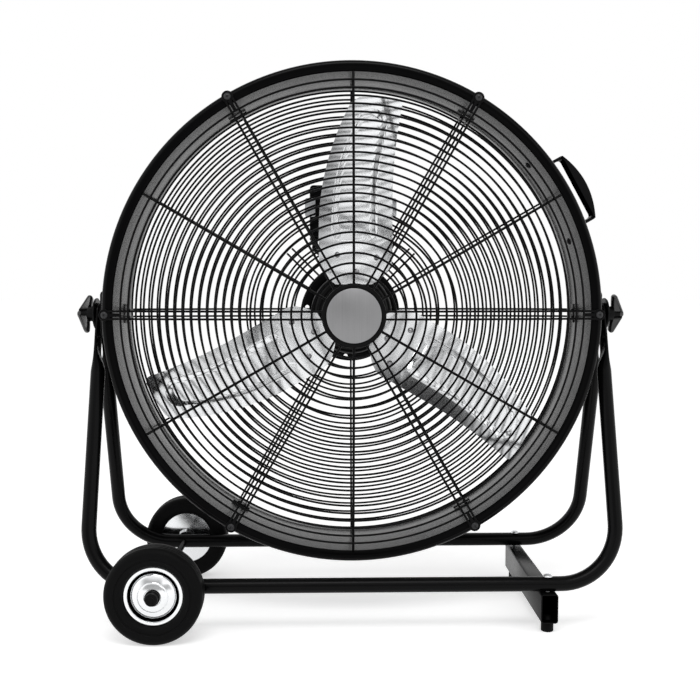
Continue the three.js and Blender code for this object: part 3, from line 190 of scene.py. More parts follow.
def shader_group(name, inputs, outputs):
    """An empty shader node group, the sockets that feed it, and its output node."""
    tree = bpy.data.node_groups.new(name, "ShaderNodeTree")
    for label, value in inputs.items():
        socket = tree.interface.new_socket(label, in_out="INPUT", socket_type="NodeSocketFloat")
        socket.default_value = value
    for label in outputs:
        tree.interface.new_socket(label, in_out="OUTPUT", socket_type="NodeSocketFloat")
    return tree, tree.nodes.new("NodeGroupInput").outputs, tree.nodes.new("NodeGroupOutput")


def close_group(tree, group_out, **results):
    for label, socket in results.items():
        tree.links.new(socket, group_out.inputs[label])


def object_place(tree):
    return add_node(tree, "ShaderNodeTexCoord").outputs["Object"]


def noise(tree, place, scale, detail, roughness=0.5, distortion=0.0):
    return feed(tree, "ShaderNodeTexNoise", {"Vector": place, "Scale": scale, "Detail": detail,
                                             "Roughness": roughness, "Distortion": distortion})


# Sprayed and baked skin: a fine orange peel, and wide patches that are a little duller.
skin_group, skin_in, skin_out = shader_group(
    "sprayed_skin", {"Peel Per Metre": 900.0, "Patches Per Metre": 9.0}, ("Peel", "Patches"))
skin_place = object_place(skin_group)
close_group(skin_group, skin_out, Peel=noise(skin_group, skin_place, skin_in["Peel Per Metre"], 2.0),
            Patches=noise(skin_group, skin_place, skin_in["Patches Per Metre"], 5.0, 0.62))

# Dust that settles on what faces up, in a thin broken film.
dust_group, dust_in, dust_out = shader_group("settled_dust", {"Amount": 0.2}, ("Mask",))
dust_up = add_node(dust_group, "ShaderNodeSeparateXYZ", {
    0: add_node(dust_group, "ShaderNodeNewGeometry").outputs["Normal"]}).outputs["Z"]
dust_facing = math_node(dust_group, "POWER", math_node(dust_group, "MAXIMUM", dust_up, 0.0), 2.0)
dust_film = math_node(dust_group, "MULTIPLY", dust_facing,
                      noise(dust_group, object_place(dust_group), 140.0, 8.0, 0.75))
close_group(dust_group, dust_out,
            Mask=math_node(dust_group, "MULTIPLY", dust_film, dust_in["Amount"], True))

# Rolled sheet: long rolling lines, cloudy handling marks and a few fine scratches.
sheet_group, sheet_in, sheet_out = shader_group(
    "rolled_sheet", {"Lines Per Metre": 900.0, "Stretch": 0.02}, ("Lines", "Clouds", "Scratches"))
sheet_place = object_place(sheet_group)
sheet_squeeze = feed(sheet_group, "ShaderNodeCombineXYZ", {"X": 1.0, "Y": 1.0, "Z": sheet_in["Stretch"]})
sheet_stretched = feed(sheet_group, "ShaderNodeVectorMath", {0: sheet_place, 1: sheet_squeeze},
                       operation="MULTIPLY")
sheet_scratch = noise(sheet_group, sheet_place, 60.0, 3.0, distortion=3.2)
sheet_near = math_node(sheet_group, "ABSOLUTE", math_node(sheet_group, "SUBTRACT", sheet_scratch, 0.5))
close_group(
    sheet_group, sheet_out, Clouds=noise(sheet_group, sheet_place, 17.0, 4.0, 0.55),
    Lines=noise(sheet_group, sheet_stretched, sheet_in["Lines Per Metre"], 4.0, 0.6),
    Scratches=math_node(sheet_group, "SUBTRACT", 1.0,
                        math_node(sheet_group, "MULTIPLY", sheet_near, 90.0), True))


def blend_colours(tree, share, first, second):
    """first where share is 0 and second where it is 1."""
    colours = {6: first, 7: second}
    colours = {i: c if isinstance(c, bpy.types.NodeSocket) else (*c, 1) for i, c in colours.items()}
    return add_node(tree, "ShaderNodeMix", {0: share, **colours}, data_type="RGBA").outputs[2]


def finish(name, metallic=0.0, shine=0.5):
    """A material with an empty Principled shader: the material, its tree and the shader."""
    material = bpy.data.materials.new(name)
    tree = empty_tree(material)
    shader = add_node(tree, "ShaderNodeBsdfPrincipled", {"Metallic": metallic,
                                                         "Specular IOR Level": shine})
    add_node(tree, "ShaderNodeOutputMaterial", {"Surface": shader.outputs[0]})
    return material, tree, shader


def dress(tree, shader, colour, patches, bright, dull, height, depth, relief):
    """The shader's colour, its roughness by patches, and its bumps."""
    bump = feed(tree, "ShaderNodeBump", {"Height": height, "Distance": depth, "Strength": relief})
    for label, socket in (("Base Color", colour), ("Normal", bump),
                          ("Roughness", ranged(tree, patches, 0.3, 0.7, bright, dull))):
        tree.links.new(socket, shader.inputs[label])


def sprayed_finish(name, dark, light, dull, bright, peel_size, relief, dust=0.012, shine=0.08,
                   metallic=0.0, patches=9.0, peel_depth=0.0002, dust_shade=(0.23, 0.225, 0.21)):
    """A coat between two shades and two roughnesses, with an orange peel and some dust."""
    material, tree, shader = finish(name, metallic, shine)
    coat = add_node(tree, "ShaderNodeGroup", {"Peel Per Metre": 1 / peel_size,
                                              "Patches Per Metre": patches}, node_tree=skin_group)
    film = feed(tree, "ShaderNodeGroup", {"Amount": dust}, node_tree=dust_group)
    shade = blend_colours(tree, coat.outputs["Patches"], dark, light)
    dress(tree, shader, blend_colours(tree, film, shade, dust_shade), coat.outputs["Patches"],
          bright, dull, coat.outputs["Peel"], peel_depth, relief)
    return material


def sheet_finish(name, metallic, dark, light, smooth, dull, lines, stretch, relief):
    material, tree, shader = finish(name, metallic)
    sheet = add_node(tree, "ShaderNodeGroup", {"Lines Per Metre": lines, "Stretch": stretch},
                     node_tree=sheet_group).outputs
    shade = blend_colours(tree, sheet["Lines"], dark, light)
    marked = blend_colours(tree, math_node(tree, "MULTIPLY", sheet["Scratches"], 0.12),
                           shade, tuple(c * 0.62 for c in dark))
    both = math_node(tree, "ADD", math_node(tree, "MULTIPLY", sheet["Clouds"], 0.7),
                     math_node(tree, "MULTIPLY", sheet["Lines"], 0.3))
    dress(tree, shader, marked, both, smooth, dull, sheet["Clouds"], 0.0012, relief)
    return material


COAT_SHADES = (0.0012, 0.0012, 0.0013), (0.0026, 0.0026, 0.0028)
COAT = (*COAT_SHADES, 0.30, 0.20, 0.0011, 0.16)
powder_black = sprayed_finish("powder_coat_black", *COAT)
# Copies of the same coat with other reflection strengths, for the drum's painted light and shade: the band
# reflects more so its inside reads grey, and the rim hardly at all as a painted shade.
drum_black = sprayed_finish("drum_powder_coat", *COAT, shine=0.18)
rim_painted_shade = sprayed_finish("rim_powder_coat", *COAT, dust=0.006, shine=0.03)
wire_black = sprayed_finish("wire_black", *COAT_SHADES, 0.40, 0.30, 0.0007, 0.15)
plastic_black = sprayed_finish("moulded_black", (0.0014, 0.0014, 0.0015), (0.0030, 0.0030, 0.0032),
                               0.50, 0.36, 0.0008, 0.45)
knob_black = sprayed_finish("satin_moulding", (0.004, 0.004, 0.0042), (0.007, 0.007, 0.0074),
                            0.36, 0.30, 0.0016, 0.10, shine=0.6)
motor_black = sprayed_finish("motor_black", (0.0014, 0.0014, 0.0016), (0.0032, 0.0032, 0.0035),
                             0.46, 0.33, 0.0012, 0.3)
screw_black = sprayed_finish("screw_black", (0.010, 0.010, 0.011), (0.022, 0.022, 0.024),
                             0.34, 0.24, 0.0006, 0.12, dust=0.05, metallic=0.6)
screw_grey = sprayed_finish("screw_grey", (0.018, 0.018, 0.019), (0.034, 0.034, 0.036),
                            0.36, 0.28, 0.0006, 0.12, dust=0.03, shine=0.25)
# Painted shade: a flat black that reflects nothing, put where shade falls: in the foot bar's bore and the
# bolts inside it, in the wheels' grooves and on the handle's underside.
painted_shade = sprayed_finish("foot_bar_bore", (0.0006, 0.0006, 0.0006), (0.0006, 0.0006, 0.0006),
                            0.5, 0.5, 0.0011, 0.0, dust=0.01, shine=0.0, dust_shade=(0.02, 0.02, 0.02))
rubber_black = sprayed_finish("rubber_black", (0.0018, 0.0018, 0.0019), (0.0034, 0.0034, 0.0036),
                              0.6, 0.46, 1 / 1400, 0.35, dust=0.02, shine=0.06, patches=26.0,
                              dust_shade=(0.2, 0.195, 0.18))
mark_white = sprayed_finish("printed_white", (0.55, 0.55, 0.54), (0.68, 0.68, 0.67),
                            0.6, 0.5, 1 / 1500, 0.0, dust=0.0, shine=0.5, patches=120.0)
wheel_chrome = sprayed_finish("wheel_chrome", (0.74, 0.75, 0.76), (0.83, 0.84, 0.85), 0.2, 0.10, 1 / 700,
                              0.05, dust=0.0, shine=0.5, metallic=1.0, patches=45.0, peel_depth=0.0001)
blade_aluminium = sheet_finish("blade_aluminium", 1.0, (0.71, 0.72, 0.73), (0.75, 0.76, 0.77),
                               0.09, 0.14, 420.0, 0.05, 0.10)
rivet_metal = sheet_finish("rivet_steel", 1.0, (0.30, 0.30, 0.31), (0.42, 0.42, 0.43),
                           0.3, 0.42, 2400.0, 1.0, 0.2)
badge_grey = sheet_finish("badge_grey", 0.85, (0.205, 0.205, 0.210), (0.285, 0.285, 0.288),
                          0.40, 0.52, 900.0, 0.012, 0.12)

# Zinc plate: small grains, each a little lighter towards its edge.
zinc_plate, zinc_tree, zinc_shader = finish("zinc_plate", metallic=1.0)
zinc_grains = feed(zinc_tree, "ShaderNodeTexVoronoi", {"Vector": object_place(zinc_tree),
                                                       "Scale": 420.0}, feature="F1")
zinc_film = add_node(zinc_tree, "ShaderNodeGroup", {"Peel Per Metre": 1600.0, "Patches Per Metre": 60.0},
                     node_tree=skin_group)
zinc_shade = blend_colours(zinc_tree, math_node(zinc_tree, "MULTIPLY", zinc_grains, 1.4, True),
                           (0.50, 0.51, 0.53), (0.68, 0.69, 0.70))
dress(zinc_tree, zinc_shader, zinc_shade, zinc_film.outputs["Patches"], 0.26, 0.42,
      zinc_film.outputs["Peel"], 0.0001, 0.2)

# ---------------------------------------------------------------- shapes
# What the pieces are made with: skins through rings, turned profiles, plates from an outline, and
# Geometry Nodes that bend and repeat. Every object stays at the origin.

AXIS_HEIGHT = 0.404
MERGED = 1e-6
ON_THE_AXIS = 1e-7
PAN_HEAD = (0.0046, 0.0026, 0.0024)
SMALL_PAN_HEAD = (0.0032, 0.0018, 0.0014)
shift = Matrix.Translation
TO_AXIS = shift((0, 0, AXIS_HEIGHT))


def about(axis, angle):
    return Matrix.Rotation(radians(angle), 4, axis)


def flipped(side, axis="X"):
    """Nothing for side 1, a mirror image for side -1."""
    return Matrix.Diagonal({"X": (side, 1, 1, 1), "Y": (1, side, 1, 1), "Z": (1, 1, side, 1)}[axis])


def placed(piece, *steps):
    """Moves a piece's mesh by matrices, one after another, and leaves its object at the origin."""
    for step in steps:
        piece.data.transform(step)
    if any(step.to_3x3().determinant() < 0 for step in steps):
        piece.data.flip_normals()
    return piece


def linked(name, mesh, sharp=35):
    """An object for a mesh, smooth between the edges that are sharper than the angle."""
    mesh.shade_smooth()
    mesh.set_sharp_from_angle(angle=radians(sharp))
    piece = bpy.data.objects.new(name, mesh)
    scene.collection.objects.link(piece)
    return piece


def written(shape, mesh, merged=MERGED):
    """A bmesh written into a mesh, its doubles merged and its faces outward."""
    bmesh.ops.remove_doubles(shape, verts=shape.verts, dist=merged)
    bmesh.ops.recalc_face_normals(shape, faces=shape.faces)
    shape.to_mesh(mesh)
    shape.free()
    return mesh


def mesh_piece(name, vertices, faces, sharp=35):
    shape = bmesh.new()
    points = [shape.verts.new(v) for v in vertices]
    for face in faces:
        shape.faces.new([points[i] for i in face])
    return linked(name, written(shape, bpy.data.meshes.new(name)), sharp)


def evaluated_mesh(piece):
    """What a piece's modifiers, or its curve's bevel, make of it."""
    return bpy.data.meshes.new_from_object(piece.evaluated_get(bpy.context.evaluated_depsgraph_get()))


def curve_piece(name, drawing, merged=MERGED, sharp=35):
    carrier = bpy.data.objects.new(name, drawing)
    scene.collection.objects.link(carrier)
    mesh = evaluated_mesh(carrier)
    bpy.data.objects.remove(carrier)
    shape = bmesh.new()
    shape.from_mesh(mesh)
    return linked(name, written(shape, mesh, merged), sharp)


def skin_rings(rings, capped=True):
    """Points and faces of a skin through rings of points, with a flat cap on both ends."""
    count = len(rings[0])
    vertices = [point for ring in rings for point in ring]
    faces = [(i * count + j, i * count + k, (i + 1) * count + k, (i + 1) * count + j)
             for i in range(len(rings) - 1) for j, k in ((j, (j + 1) % count) for j in range(count))]
    if capped:
        faces += [tuple(range(count)), tuple(range((len(rings) - 1) * count, len(rings) * count))]
    return vertices, faces


def lathe_piece(name, profile, segments=64, sharp=35, base=0.0):
    """A profile of (radius, y over the base) points turned round the Y axis. It may start and end
    on the axis; otherwise it is a closed loop."""
    rows = len(profile)
    looped = max(profile[0][0], profile[-1][0]) > ON_THE_AXIS
    vertices = [(r * cos(tau * j / segments), base + y, r * sin(tau * j / segments))
                for r, y in profile for j in range(segments)]
    faces = []
    for i in range(rows if looped else rows - 1):
        after = (i + 1) % rows
        here, there = i * segments, after * segments
        low, high = profile[i][0] < ON_THE_AXIS, profile[after][0] < ON_THE_AXIS
        for j in range(0 if low and high else segments):
            k = (j + 1) % segments
            if low:
                faces.append((here, there + k, there + j))
            elif high:
                faces.append((here + j, here + k, there))
            else:
                faces.append((here + j, here + k, there + k, there + j))
    return mesh_piece(name, vertices, faces, sharp)


def arc_points(x, y, radius, start, end, steps):
    """Points on an arc in a plane, with its angles in degrees."""
    angles = [radians(start + (end - start) * i / steps) for i in range(steps + 1)]
    return [(x + radius * cos(a), y + radius * sin(a)) for a in angles]


def circle_outline(radius, steps=96, x=0.0, z=0.0):
    return [(u + x, v + z) for u, v in arc_points(0, 0, radius, 0, 360, steps)[:-1]]


def rounded_outline(width, height, radius, x=0.0, z=0.0):
    u, v = width / 2 - radius, height / 2 - radius
    return [(p + x, q + z) for i, (a, b) in enumerate(((1, 1), (-1, 1), (-1, -1), (1, -1)))
            for p, q in arc_points(a * u, b * v, radius, 90 * i, 90 * i + 90, 5)]


def plate_piece(name, outline, front, back, edge, holes=(), edge_steps=3, sharp=35):
    """A plate with the outline's x and z, from front to back in y, its edges rounded off."""
    drawing = bpy.data.curves.new(name, "CURVE")
    drawing.dimensions, drawing.fill_mode = "2D", "BOTH"
    for loop in (outline, *holes):
        spline = drawing.splines.new("POLY")
        spline.points.add(len(loop) - 1)
        for point, (x, z) in zip(spline.points, loop):
            point.co = (x, z, 0, 1)
        spline.use_cyclic_u = True
    drawing.bevel_depth, drawing.bevel_resolution, drawing.offset = edge, edge_steps, -edge
    drawing.extrude = (back - front) / 2 - edge
    plate = curve_piece(name, drawing, 2 * MERGED, sharp)
    return placed(plate, about("X", 90), shift((0, (front + back) / 2, 0)))


def joined(first, *others):
    with bpy.context.temp_override(active_object=first, selected_editable_objects=[first, *others]):
        bpy.ops.object.join()
    return first


def fit_out(piece, material, slot, body, *stands_for):
    """Gives a piece its finish, its body and the solids that it stands for. The slot is not used."""
    piece.data.materials.clear()
    piece.data.materials.append(material)
    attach(piece, body)
    if stands_for:
        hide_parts(*stands_for)
    return piece


def second_finish(piece, material, chosen):
    """Gives the faces whose middles are chosen another finish."""
    piece.data.materials.append(material)
    for face in piece.data.polygons:
        if chosen(face.center):
            face.material_index = len(piece.data.materials) - 1


def from_axis(point):
    return hypot(point.x, point.z - AXIS_HEIGHT)


def cross_recess_screw(name, head_r, head_height, shank_r, length, segments=32):
    """A pan-head screw along Y, its head's underside at 0, with a cross recess in its front. A head
    is its radius, its height and the shank's radius."""
    dome = [(head_r * sin(radians(a)), -head_height * cos(radians(a))) for a in (12, 24, 36, 48, 60, 72, 82)]
    screw = lathe_piece(name, [(0, -head_height), *dome, (head_r, -head_height * 0.06), (head_r, 0),
                               (shank_r, 0), (shank_r, length - 0.0006),
                               (shank_r - 0.0005, length), (0, length)], segments)
    mouth = (head_r * 0.62, head_r * 0.13, -2 * head_height)
    floor_of_it = (head_r * 0.62 * 0.55, head_r * 0.13 * 0.7, -head_height + head_height * 0.62)
    for turn in (0, 90):
        slot = mesh_piece("recess", *skin_rings([
            [(a * arm, y, b * half) for a, b in ((-1, -1), (1, -1), (1, 1), (-1, 1))]
            for arm, half, y in (mouth, floor_of_it)]))
        placed(slot, about("Y", turn))
        cutter = screw.modifiers.new("recess", "BOOLEAN")
        cutter.object, cutter.solver = slot, "EXACT"
        cut = evaluated_mesh(screw)
        screw.modifiers.clear()
        screw.data = cut
        bpy.data.objects.remove(slot)
    return screw


def geometry_tree(name, sockets):
    """An empty Geometry Nodes tree, the sockets that feed it, and its output node."""
    tree = bpy.data.node_groups.new(name, "GeometryNodeTree")
    for way in ("INPUT", "OUTPUT"):
        tree.interface.new_socket("Geometry", in_out=way, socket_type="NodeSocketGeometry")
    for label, kind in sockets.items():
        tree.interface.new_socket(label, in_out="INPUT", socket_type=f"NodeSocket{kind}")
    return tree, tree.nodes.new("NodeGroupInput").outputs, tree.nodes.new("NodeGroupOutput")


def painted(tree, given, group_out, geometry):
    """Ends a tree: its geometry gets the finish and goes out."""
    tree.links.new(feed(tree, "GeometryNodeSetMaterial", {
        "Geometry": geometry, "Material": given["Finish"]}), group_out.inputs[0])


def copies_round_the_axis(tree, given, geometry):
    """Geometry repeated round the drum's axis, which lies along Y, by the tree's own inputs."""
    spot = feed(tree, "ShaderNodeCombineXYZ", {"Z": given["Axis Height"]})
    spots = feed(tree, "GeometryNodePoints", {"Count": given["Count"], "Position": spot})
    along = math_node(tree, "MULTIPLY", feed(tree, "GeometryNodeInputIndex"), given["Apart"])
    angle = math_node(tree, "ADD", along, given["First Angle"])
    turn = feed(tree, "ShaderNodeCombineXYZ", {"Y": math_node(tree, "MULTIPLY", angle, -1.0)})
    rotation = feed(tree, "FunctionNodeEulerToRotation", {0: turn})
    instances = feed(tree, "GeometryNodeInstanceOnPoints", {
        "Points": spots, "Instance": geometry, "Rotation": rotation})
    return feed(tree, "GeometryNodeRealizeInstances", {0: instances})


ROUND_THE_AXIS = {"Count": "Int", "Apart": "Float", "First Angle": "Float",
                  "Axis Height": "Float", "Finish": "Material"}
repeat_tree, repeat_in, repeat_out = geometry_tree("repeated_round_the_drum", ROUND_THE_AXIS)
painted(repeat_tree, repeat_in, repeat_out,
        copies_round_the_axis(repeat_tree, repeat_in, repeat_in["Geometry"]))


def grown(piece, tree, material, sharp=35, **values):
    """Runs a Geometry Nodes tree on a piece and keeps the result as its plain mesh."""
    values.update(axis_height=AXIS_HEIGHT, finish=material)
    modifier = piece.modifiers.new("grow", "NODES")
    modifier.node_group = tree
    for item in tree.interface.items_tree:
        label = item.name.replace(" ", "_").lower()
        if item.in_out == "INPUT" and label in values:
            modifier[item.identifier] = values[label]
    piece.update_tag()
    result = evaluated_mesh(piece)
    piece.modifiers.clear()
    piece.data = result
    result.shade_smooth()
    result.set_sharp_from_angle(angle=radians(sharp))
    return piece


def round_the_drum(piece, material, count, first_angle=0.0, apart=None, tree=repeat_tree, sharp=35,
                   **values):
    return grown(piece, tree, material, sharp, count=count, first_angle=first_angle,
                 apart=apart or tau / count, **values)


# ---------------------------------------------------------------- stand frames
# Two steel tubes, each bent into a wide U and powder coated black. Their upper ends are pressed
# flat and hang on the pivot studs, the front frame's outside the rear one's.

TUBE_R = 0.0095
LEG_X = 0.3405
STAND_HALF_DEPTH = 0.106
TUBE_HEIGHT = 0.061
LEG_RUN = hypot(STAND_HALF_DEPTH, AXIS_HEIGHT - TUBE_HEIGHT)
BEND_R = 0.076
PADDLE_LENGTH = 0.048
PADDLE_HALF_WIDTH = 0.015
PADDLE_HALF_THICKNESS = 0.002
PADDLE_TAPER = 0.034
PADDLE_STEP = 0.00215
TUBE_SIDES = 28


def eased(share):
    share = min(max(share, 0.0), 1.0)
    return share * share * (3 - 2 * share)


def frame_stations(paddle_x):
    """Half of a frame, from the paddle's round end to the middle: x, distance down the leg's
    plane, half width, and how flat the tube is pressed."""
    half = PADDLE_HALF_WIDTH
    stations = [(paddle_x, -half * sin(radians(a)), half * cos(radians(a)), 1.0)
                for a in (86, 75, 62, 48, 34, 20, 8)]
    stations += [(paddle_x, PADDLE_LENGTH * s, half, 1.0) for s in (0, 0.5, 1)]
    for i in range(1, 12):
        ease = eased(i / 12)
        stations.append((paddle_x + (LEG_X - paddle_x) * ease, PADDLE_LENGTH + PADDLE_TAPER * i / 12,
                         half + (TUBE_R - half) * ease, 1 - ease))
    tapered, straight_end = PADDLE_LENGTH + PADDLE_TAPER, LEG_RUN - BEND_R
    stations += [(LEG_X, tapered + (straight_end - tapered) * s, TUBE_R, 0.0) for s in (0, 0.34, 0.67)]
    stations += [(x, w, TUBE_R, 0.0)
                 for x, w in arc_points(LEG_X - BEND_R, straight_end, BEND_R, 0, 90, 18)]
    return stations + [((LEG_X - BEND_R) * s, LEG_RUN, TUBE_R, 0.0) for s in (0.66, 0.33)]


for side, place in ((-1, "front"), (1, "rear")):
    down = Vector((0, side * STAND_HALF_DEPTH / LEG_RUN, (TUBE_HEIGHT - AXIS_HEIGHT) / LEG_RUN))
    across = Vector((1, 0, 0)).cross(down)
    half_frame = frame_stations(LEG_X - side * PADDLE_STEP)
    stations = half_frame + [(0, LEG_RUN, TUBE_R, 0.0)] + [(-x, *rest) for x, *rest in reversed(half_frame)]
    path = [Vector((x, 0, AXIS_HEIGHT)) + down * w for x, w, _, _ in stations]
    rings = []
    for i, (_, _, width, flat) in enumerate(stations):
        along = (path[min(i + 1, len(path) - 1)] - path[max(i - 1, 0)]).normalized()
        in_plane = across.cross(along).normalized()
        depth = TUBE_R + (PADDLE_HALF_THICKNESS - TUBE_R) * flat
        corners = [(cos(a), sin(a)) for a in (tau * (j + 0.5) / TUBE_SIDES for j in range(TUBE_SIDES))]
        rings.append([path[i] + in_plane * copysign(abs(u) ** (1 - 0.72 * flat), u) * depth
                      + across * copysign(abs(v) ** (1 - 0.3 * flat), v) * width for u, v in corners])
    tube = mesh_piece(f"{place}_frame_tube", *skin_rings(rings), sharp=50)
    fit_out(tube, powder_black, "powder_coat_black", "stand", f"{place}_frame")

# ---------------------------------------------------------------- foot bar
# A length of rectangular steel tube bolted under both frames on the side away from the wheels,
# powder coated like the frames, its ends open. Two rubber feet are plugged into its underside.

FOOT_BAR_X = 0.248
FOOT_BAR_TOP = 0.0512
FOOT_BAR_WIDTH = 0.022
FOOT_BAR_HEIGHT = 0.038
FOOT_BAR_WALL = 0.0018
FOOT_BAR_REACH = 0.119
FOOT_R = 0.008

foot_bar = plate_piece(
    "foot_bar_tube", rounded_outline(FOOT_BAR_WIDTH, FOOT_BAR_HEIGHT, 2 * FOOT_BAR_WALL),
    -FOOT_BAR_REACH, FOOT_BAR_REACH, 0.0003,
    holes=[rounded_outline(FOOT_BAR_WIDTH - 2 * FOOT_BAR_WALL, FOOT_BAR_HEIGHT - 2 * FOOT_BAR_WALL,
                           FOOT_BAR_WALL)], edge_steps=1)
placed(foot_bar, shift((FOOT_BAR_X, 0, FOOT_BAR_TOP - FOOT_BAR_HEIGHT / 2)))
fit_out(foot_bar, powder_black, "powder_coat_black", "stand", "foot_bar")
# Painted shade: the faces inside the bore are painted flat black as the shade in the tube.
second_finish(foot_bar, painted_shade, lambda middle: (
    abs(middle.x - FOOT_BAR_X) < FOOT_BAR_WIDTH / 2 - FOOT_BAR_WALL * 0.8
    and abs(middle.z - FOOT_BAR_TOP + FOOT_BAR_HEIGHT / 2) < FOOT_BAR_HEIGHT / 2 - FOOT_BAR_WALL * 0.8))

bolt_top = TUBE_HEIGHT + TUBE_R + 0.0003
nut_top = FOOT_BAR_TOP - FOOT_BAR_WALL - 0.0003
for side, place in ((-1, "front"), (1, "rear")):
    under_frame = (about("X", 90), shift((FOOT_BAR_X, side * STAND_HALF_DEPTH, 0)))
    foot = lathe_piece(f"rubber_foot_{place}_plug", [
        (0, 0), (FOOT_R - 0.0022, 0), *[(FOOT_R - 0.0012 + u, v + 0.0012)
                                        for u, v in arc_points(0, 0, 0.0012, -90, 0, 4)],
        (FOOT_R, 0.0115), (FOOT_R - 0.0006, 0.0129), (0.004, 0.0129), (0.004, 0.0153),
        (0.0055, 0.0157), (0.0044, 0.0195), (0, 0.0197)], 40)
    fit_out(placed(foot, *under_frame), rubber_black, "rubber_black", "stand", f"rubber_foot_{place}")
    bolt = lathe_piece(f"foot_bolt_{place}_dome", [
        (0, bolt_top + 0.0035), *[(0.0058 * sin(radians(a)), bolt_top + 0.0005 + 0.003 * cos(radians(a)))
                                  for a in (15, 30, 45, 60, 75, 90)],
        (0.006, bolt_top), (0.003, bolt_top), (0.003, nut_top), (0.0053, nut_top),
        (0.0056, nut_top - 0.0005), (0.0056, nut_top - 0.0045), (0.0053, nut_top - 0.005),
        (0.003, nut_top - 0.005), (0, nut_top - 0.005)], 32)
    fit_out(placed(bolt, *under_frame), zinc_plate, "zinc_plate", "stand", f"foot_bolt_{place}")
    # Painted shade: the part of each bolt inside the bar is painted flat black, so no light shows on it in
    # the bore.
    second_finish(bolt, painted_shade, lambda middle: middle.z < nut_top + 0.0001)

# ---------------------------------------------------------------- wheels
# Solid rubber tyres on pressed, bright-plated steel centres: an outer ring, a deep groove painted
# black as shade, and a domed cap. They turn on one dark rod through both frames, behind black push-on caps.

WHEEL_X = -0.248
WHEEL_R = TUBE_HEIGHT
WHEEL_WIDTH = 0.034
WHEEL_INNER_FACE = STAND_HALF_DEPTH + TUBE_R + 0.0025
WHEEL_SHOULDER_R = 0.0085
WHEEL_RIM_R = 0.037
WHEEL_RIM_FACE = 0.027
WHEEL_CAP_R = 0.0295
CAP_DOME_R = 0.062
GROOVE_DEPTH = 0.009
AXLE_R = 0.0045
AXLE_CAP_R = 0.0095
AXLE_CAP_FACE = 0.1503
AXLE_END = AXLE_CAP_FACE + 0.006


def tread_profile():
    """The tyre's section: flat sidewalls with a shallow ring, round shoulders and three grooves."""
    shoulder, rim, wide = WHEEL_SHOULDER_R, WHEEL_RIM_R, WHEEL_WIDTH
    points = [(rim + 0.0002, 0.005), (rim + 0.004, 0.002), (0.0455, 0.0012)]
    points += arc_points(WHEEL_R - shoulder, shoulder, shoulder, -80, -12, 8)
    for middle in (0.012, 0.017, 0.022):
        points += [(WHEEL_R - cut, middle + off) for cut, off in (
            (0, -0.0012), (0.0011, -0.0007), (0.0011, 0.0007), (0, 0.0012))]
    points += arc_points(WHEEL_R - shoulder, wide - shoulder, shoulder, 12, 80, 8)
    points += [(0.0478, wide - 0.0001), (0.0470, wide - 0.0009), (0.0462, wide - 0.0009),
               (0.0454, wide - 0.0003)]
    return points + [(rim + out, wide - cut) for out, cut in (
        (0.0045, 0.0014), (0.0022, 0.0028), (0.0006, 0.005), (0.0002, 0.008))]


def centre_profile():
    """The plated centre's section, from the boss by the tube round to the domed cap."""
    face = WHEEL_RIM_FACE

    def domed(r, sunk=0.0018):
        return r, face - sunk + (sqrt(CAP_DOME_R ** 2 - r ** 2) - sqrt(CAP_DOME_R ** 2 - WHEEL_CAP_R ** 2))

    return [(AXLE_R + 0.0006, -0.0022), (AXLE_R + 0.007, -0.0022), (AXLE_R + 0.009, 0.006),
            (WHEEL_RIM_R, 0.006), (WHEEL_RIM_R, face - 0.001),
            *arc_points(WHEEL_RIM_R - 0.0014, face - 0.0012, 0.0014, 10, 90, 5),
            *arc_points(WHEEL_CAP_R + 0.0036, face - 0.0012, 0.0012, 90, 175, 5),
            (WHEEL_CAP_R + 0.0022, face - GROOVE_DEPTH), (WHEEL_CAP_R - 0.0004, face - GROOVE_DEPTH),
            (WHEEL_CAP_R - 0.0002, face - 0.0036), (WHEEL_CAP_R - 0.0012, face - 0.0020),
            *[domed(r) for r in (0.0265, 0.0245, 0.0225, 0.0205, 0.0190)],
            domed(0.0186, 0.0022), *[domed(r) for r in (0.0180, 0.0160, 0.0140, 0.0124, 0.0108)],
            domed(0.0104, 0.0022), (AXLE_R + 0.0006, domed(0.0104, 0.0022)[1])]


for side, place in ((-1, "front"), (1, "rear")):
    on_wheel = (flipped(side, "Y"), shift((WHEEL_X, side * WHEEL_INNER_FACE, TUBE_HEIGHT)))
    tyre = placed(lathe_piece(f"tyre_{place}_tread", tread_profile(), 96), *on_wheel)
    fit_out(tyre, rubber_black, "rubber_black", f"{place}_wheel", f"tyre_{place}")
    centre = placed(lathe_piece(f"wheel_centre_{place}", centre_profile(), 96), *on_wheel)
    fit_out(centre, wheel_chrome, "wheel_chrome", f"{place}_wheel", f"wheel_hub_{place}")
    # Painted shade: the groove between the plated ring and the cap is painted flat black.
    second_finish(centre, painted_shade, lambda middle: (
        abs(hypot(middle.x - WHEEL_X, middle.z - TUBE_HEIGHT) - WHEEL_CAP_R - 0.0005) < 0.0015
        and abs(middle.y) < WHEEL_INNER_FACE + WHEEL_RIM_FACE - 0.0024))
    cap = lathe_piece(f"axle_cap_{place}", [
        (AXLE_R, 0), (AXLE_CAP_R - 0.0006, 0), (AXLE_CAP_R, 0.0006), (AXLE_CAP_R, 0.0024),
        (AXLE_CAP_R - 0.0012, 0.0034), (AXLE_CAP_R - 0.0017, 0.0078),
        *[(AXLE_CAP_R - 0.0037 + u, 0.0079 + v) for u, v in arc_points(0, 0, 0.002, 0, 90, 5)],
        (0.0042, 0.0099), (0.0036, 0.0092), (0, 0.0092), (0, 0.0063), (AXLE_R, 0.0063)], 48)
    placed(cap, flipped(side, "Y"), shift((WHEEL_X, side * AXLE_CAP_FACE, TUBE_HEIGHT)))
    fit_out(cap, plastic_black, "plastic_black", "stand", f"axle_nut_{place}")

axle = lathe_piece("axle_rod", [
    (0, -AXLE_END), (AXLE_R - 0.0005, -AXLE_END), (AXLE_R, -AXLE_END + 0.0005),
    (AXLE_R, AXLE_END - 0.0005), (AXLE_R - 0.0005, AXLE_END), (0, AXLE_END)], 32)
fit_out(placed(axle, shift((WHEEL_X, 0, TUBE_HEIGHT))), powder_black, "zinc_plate", "stand", "wheel_axle")
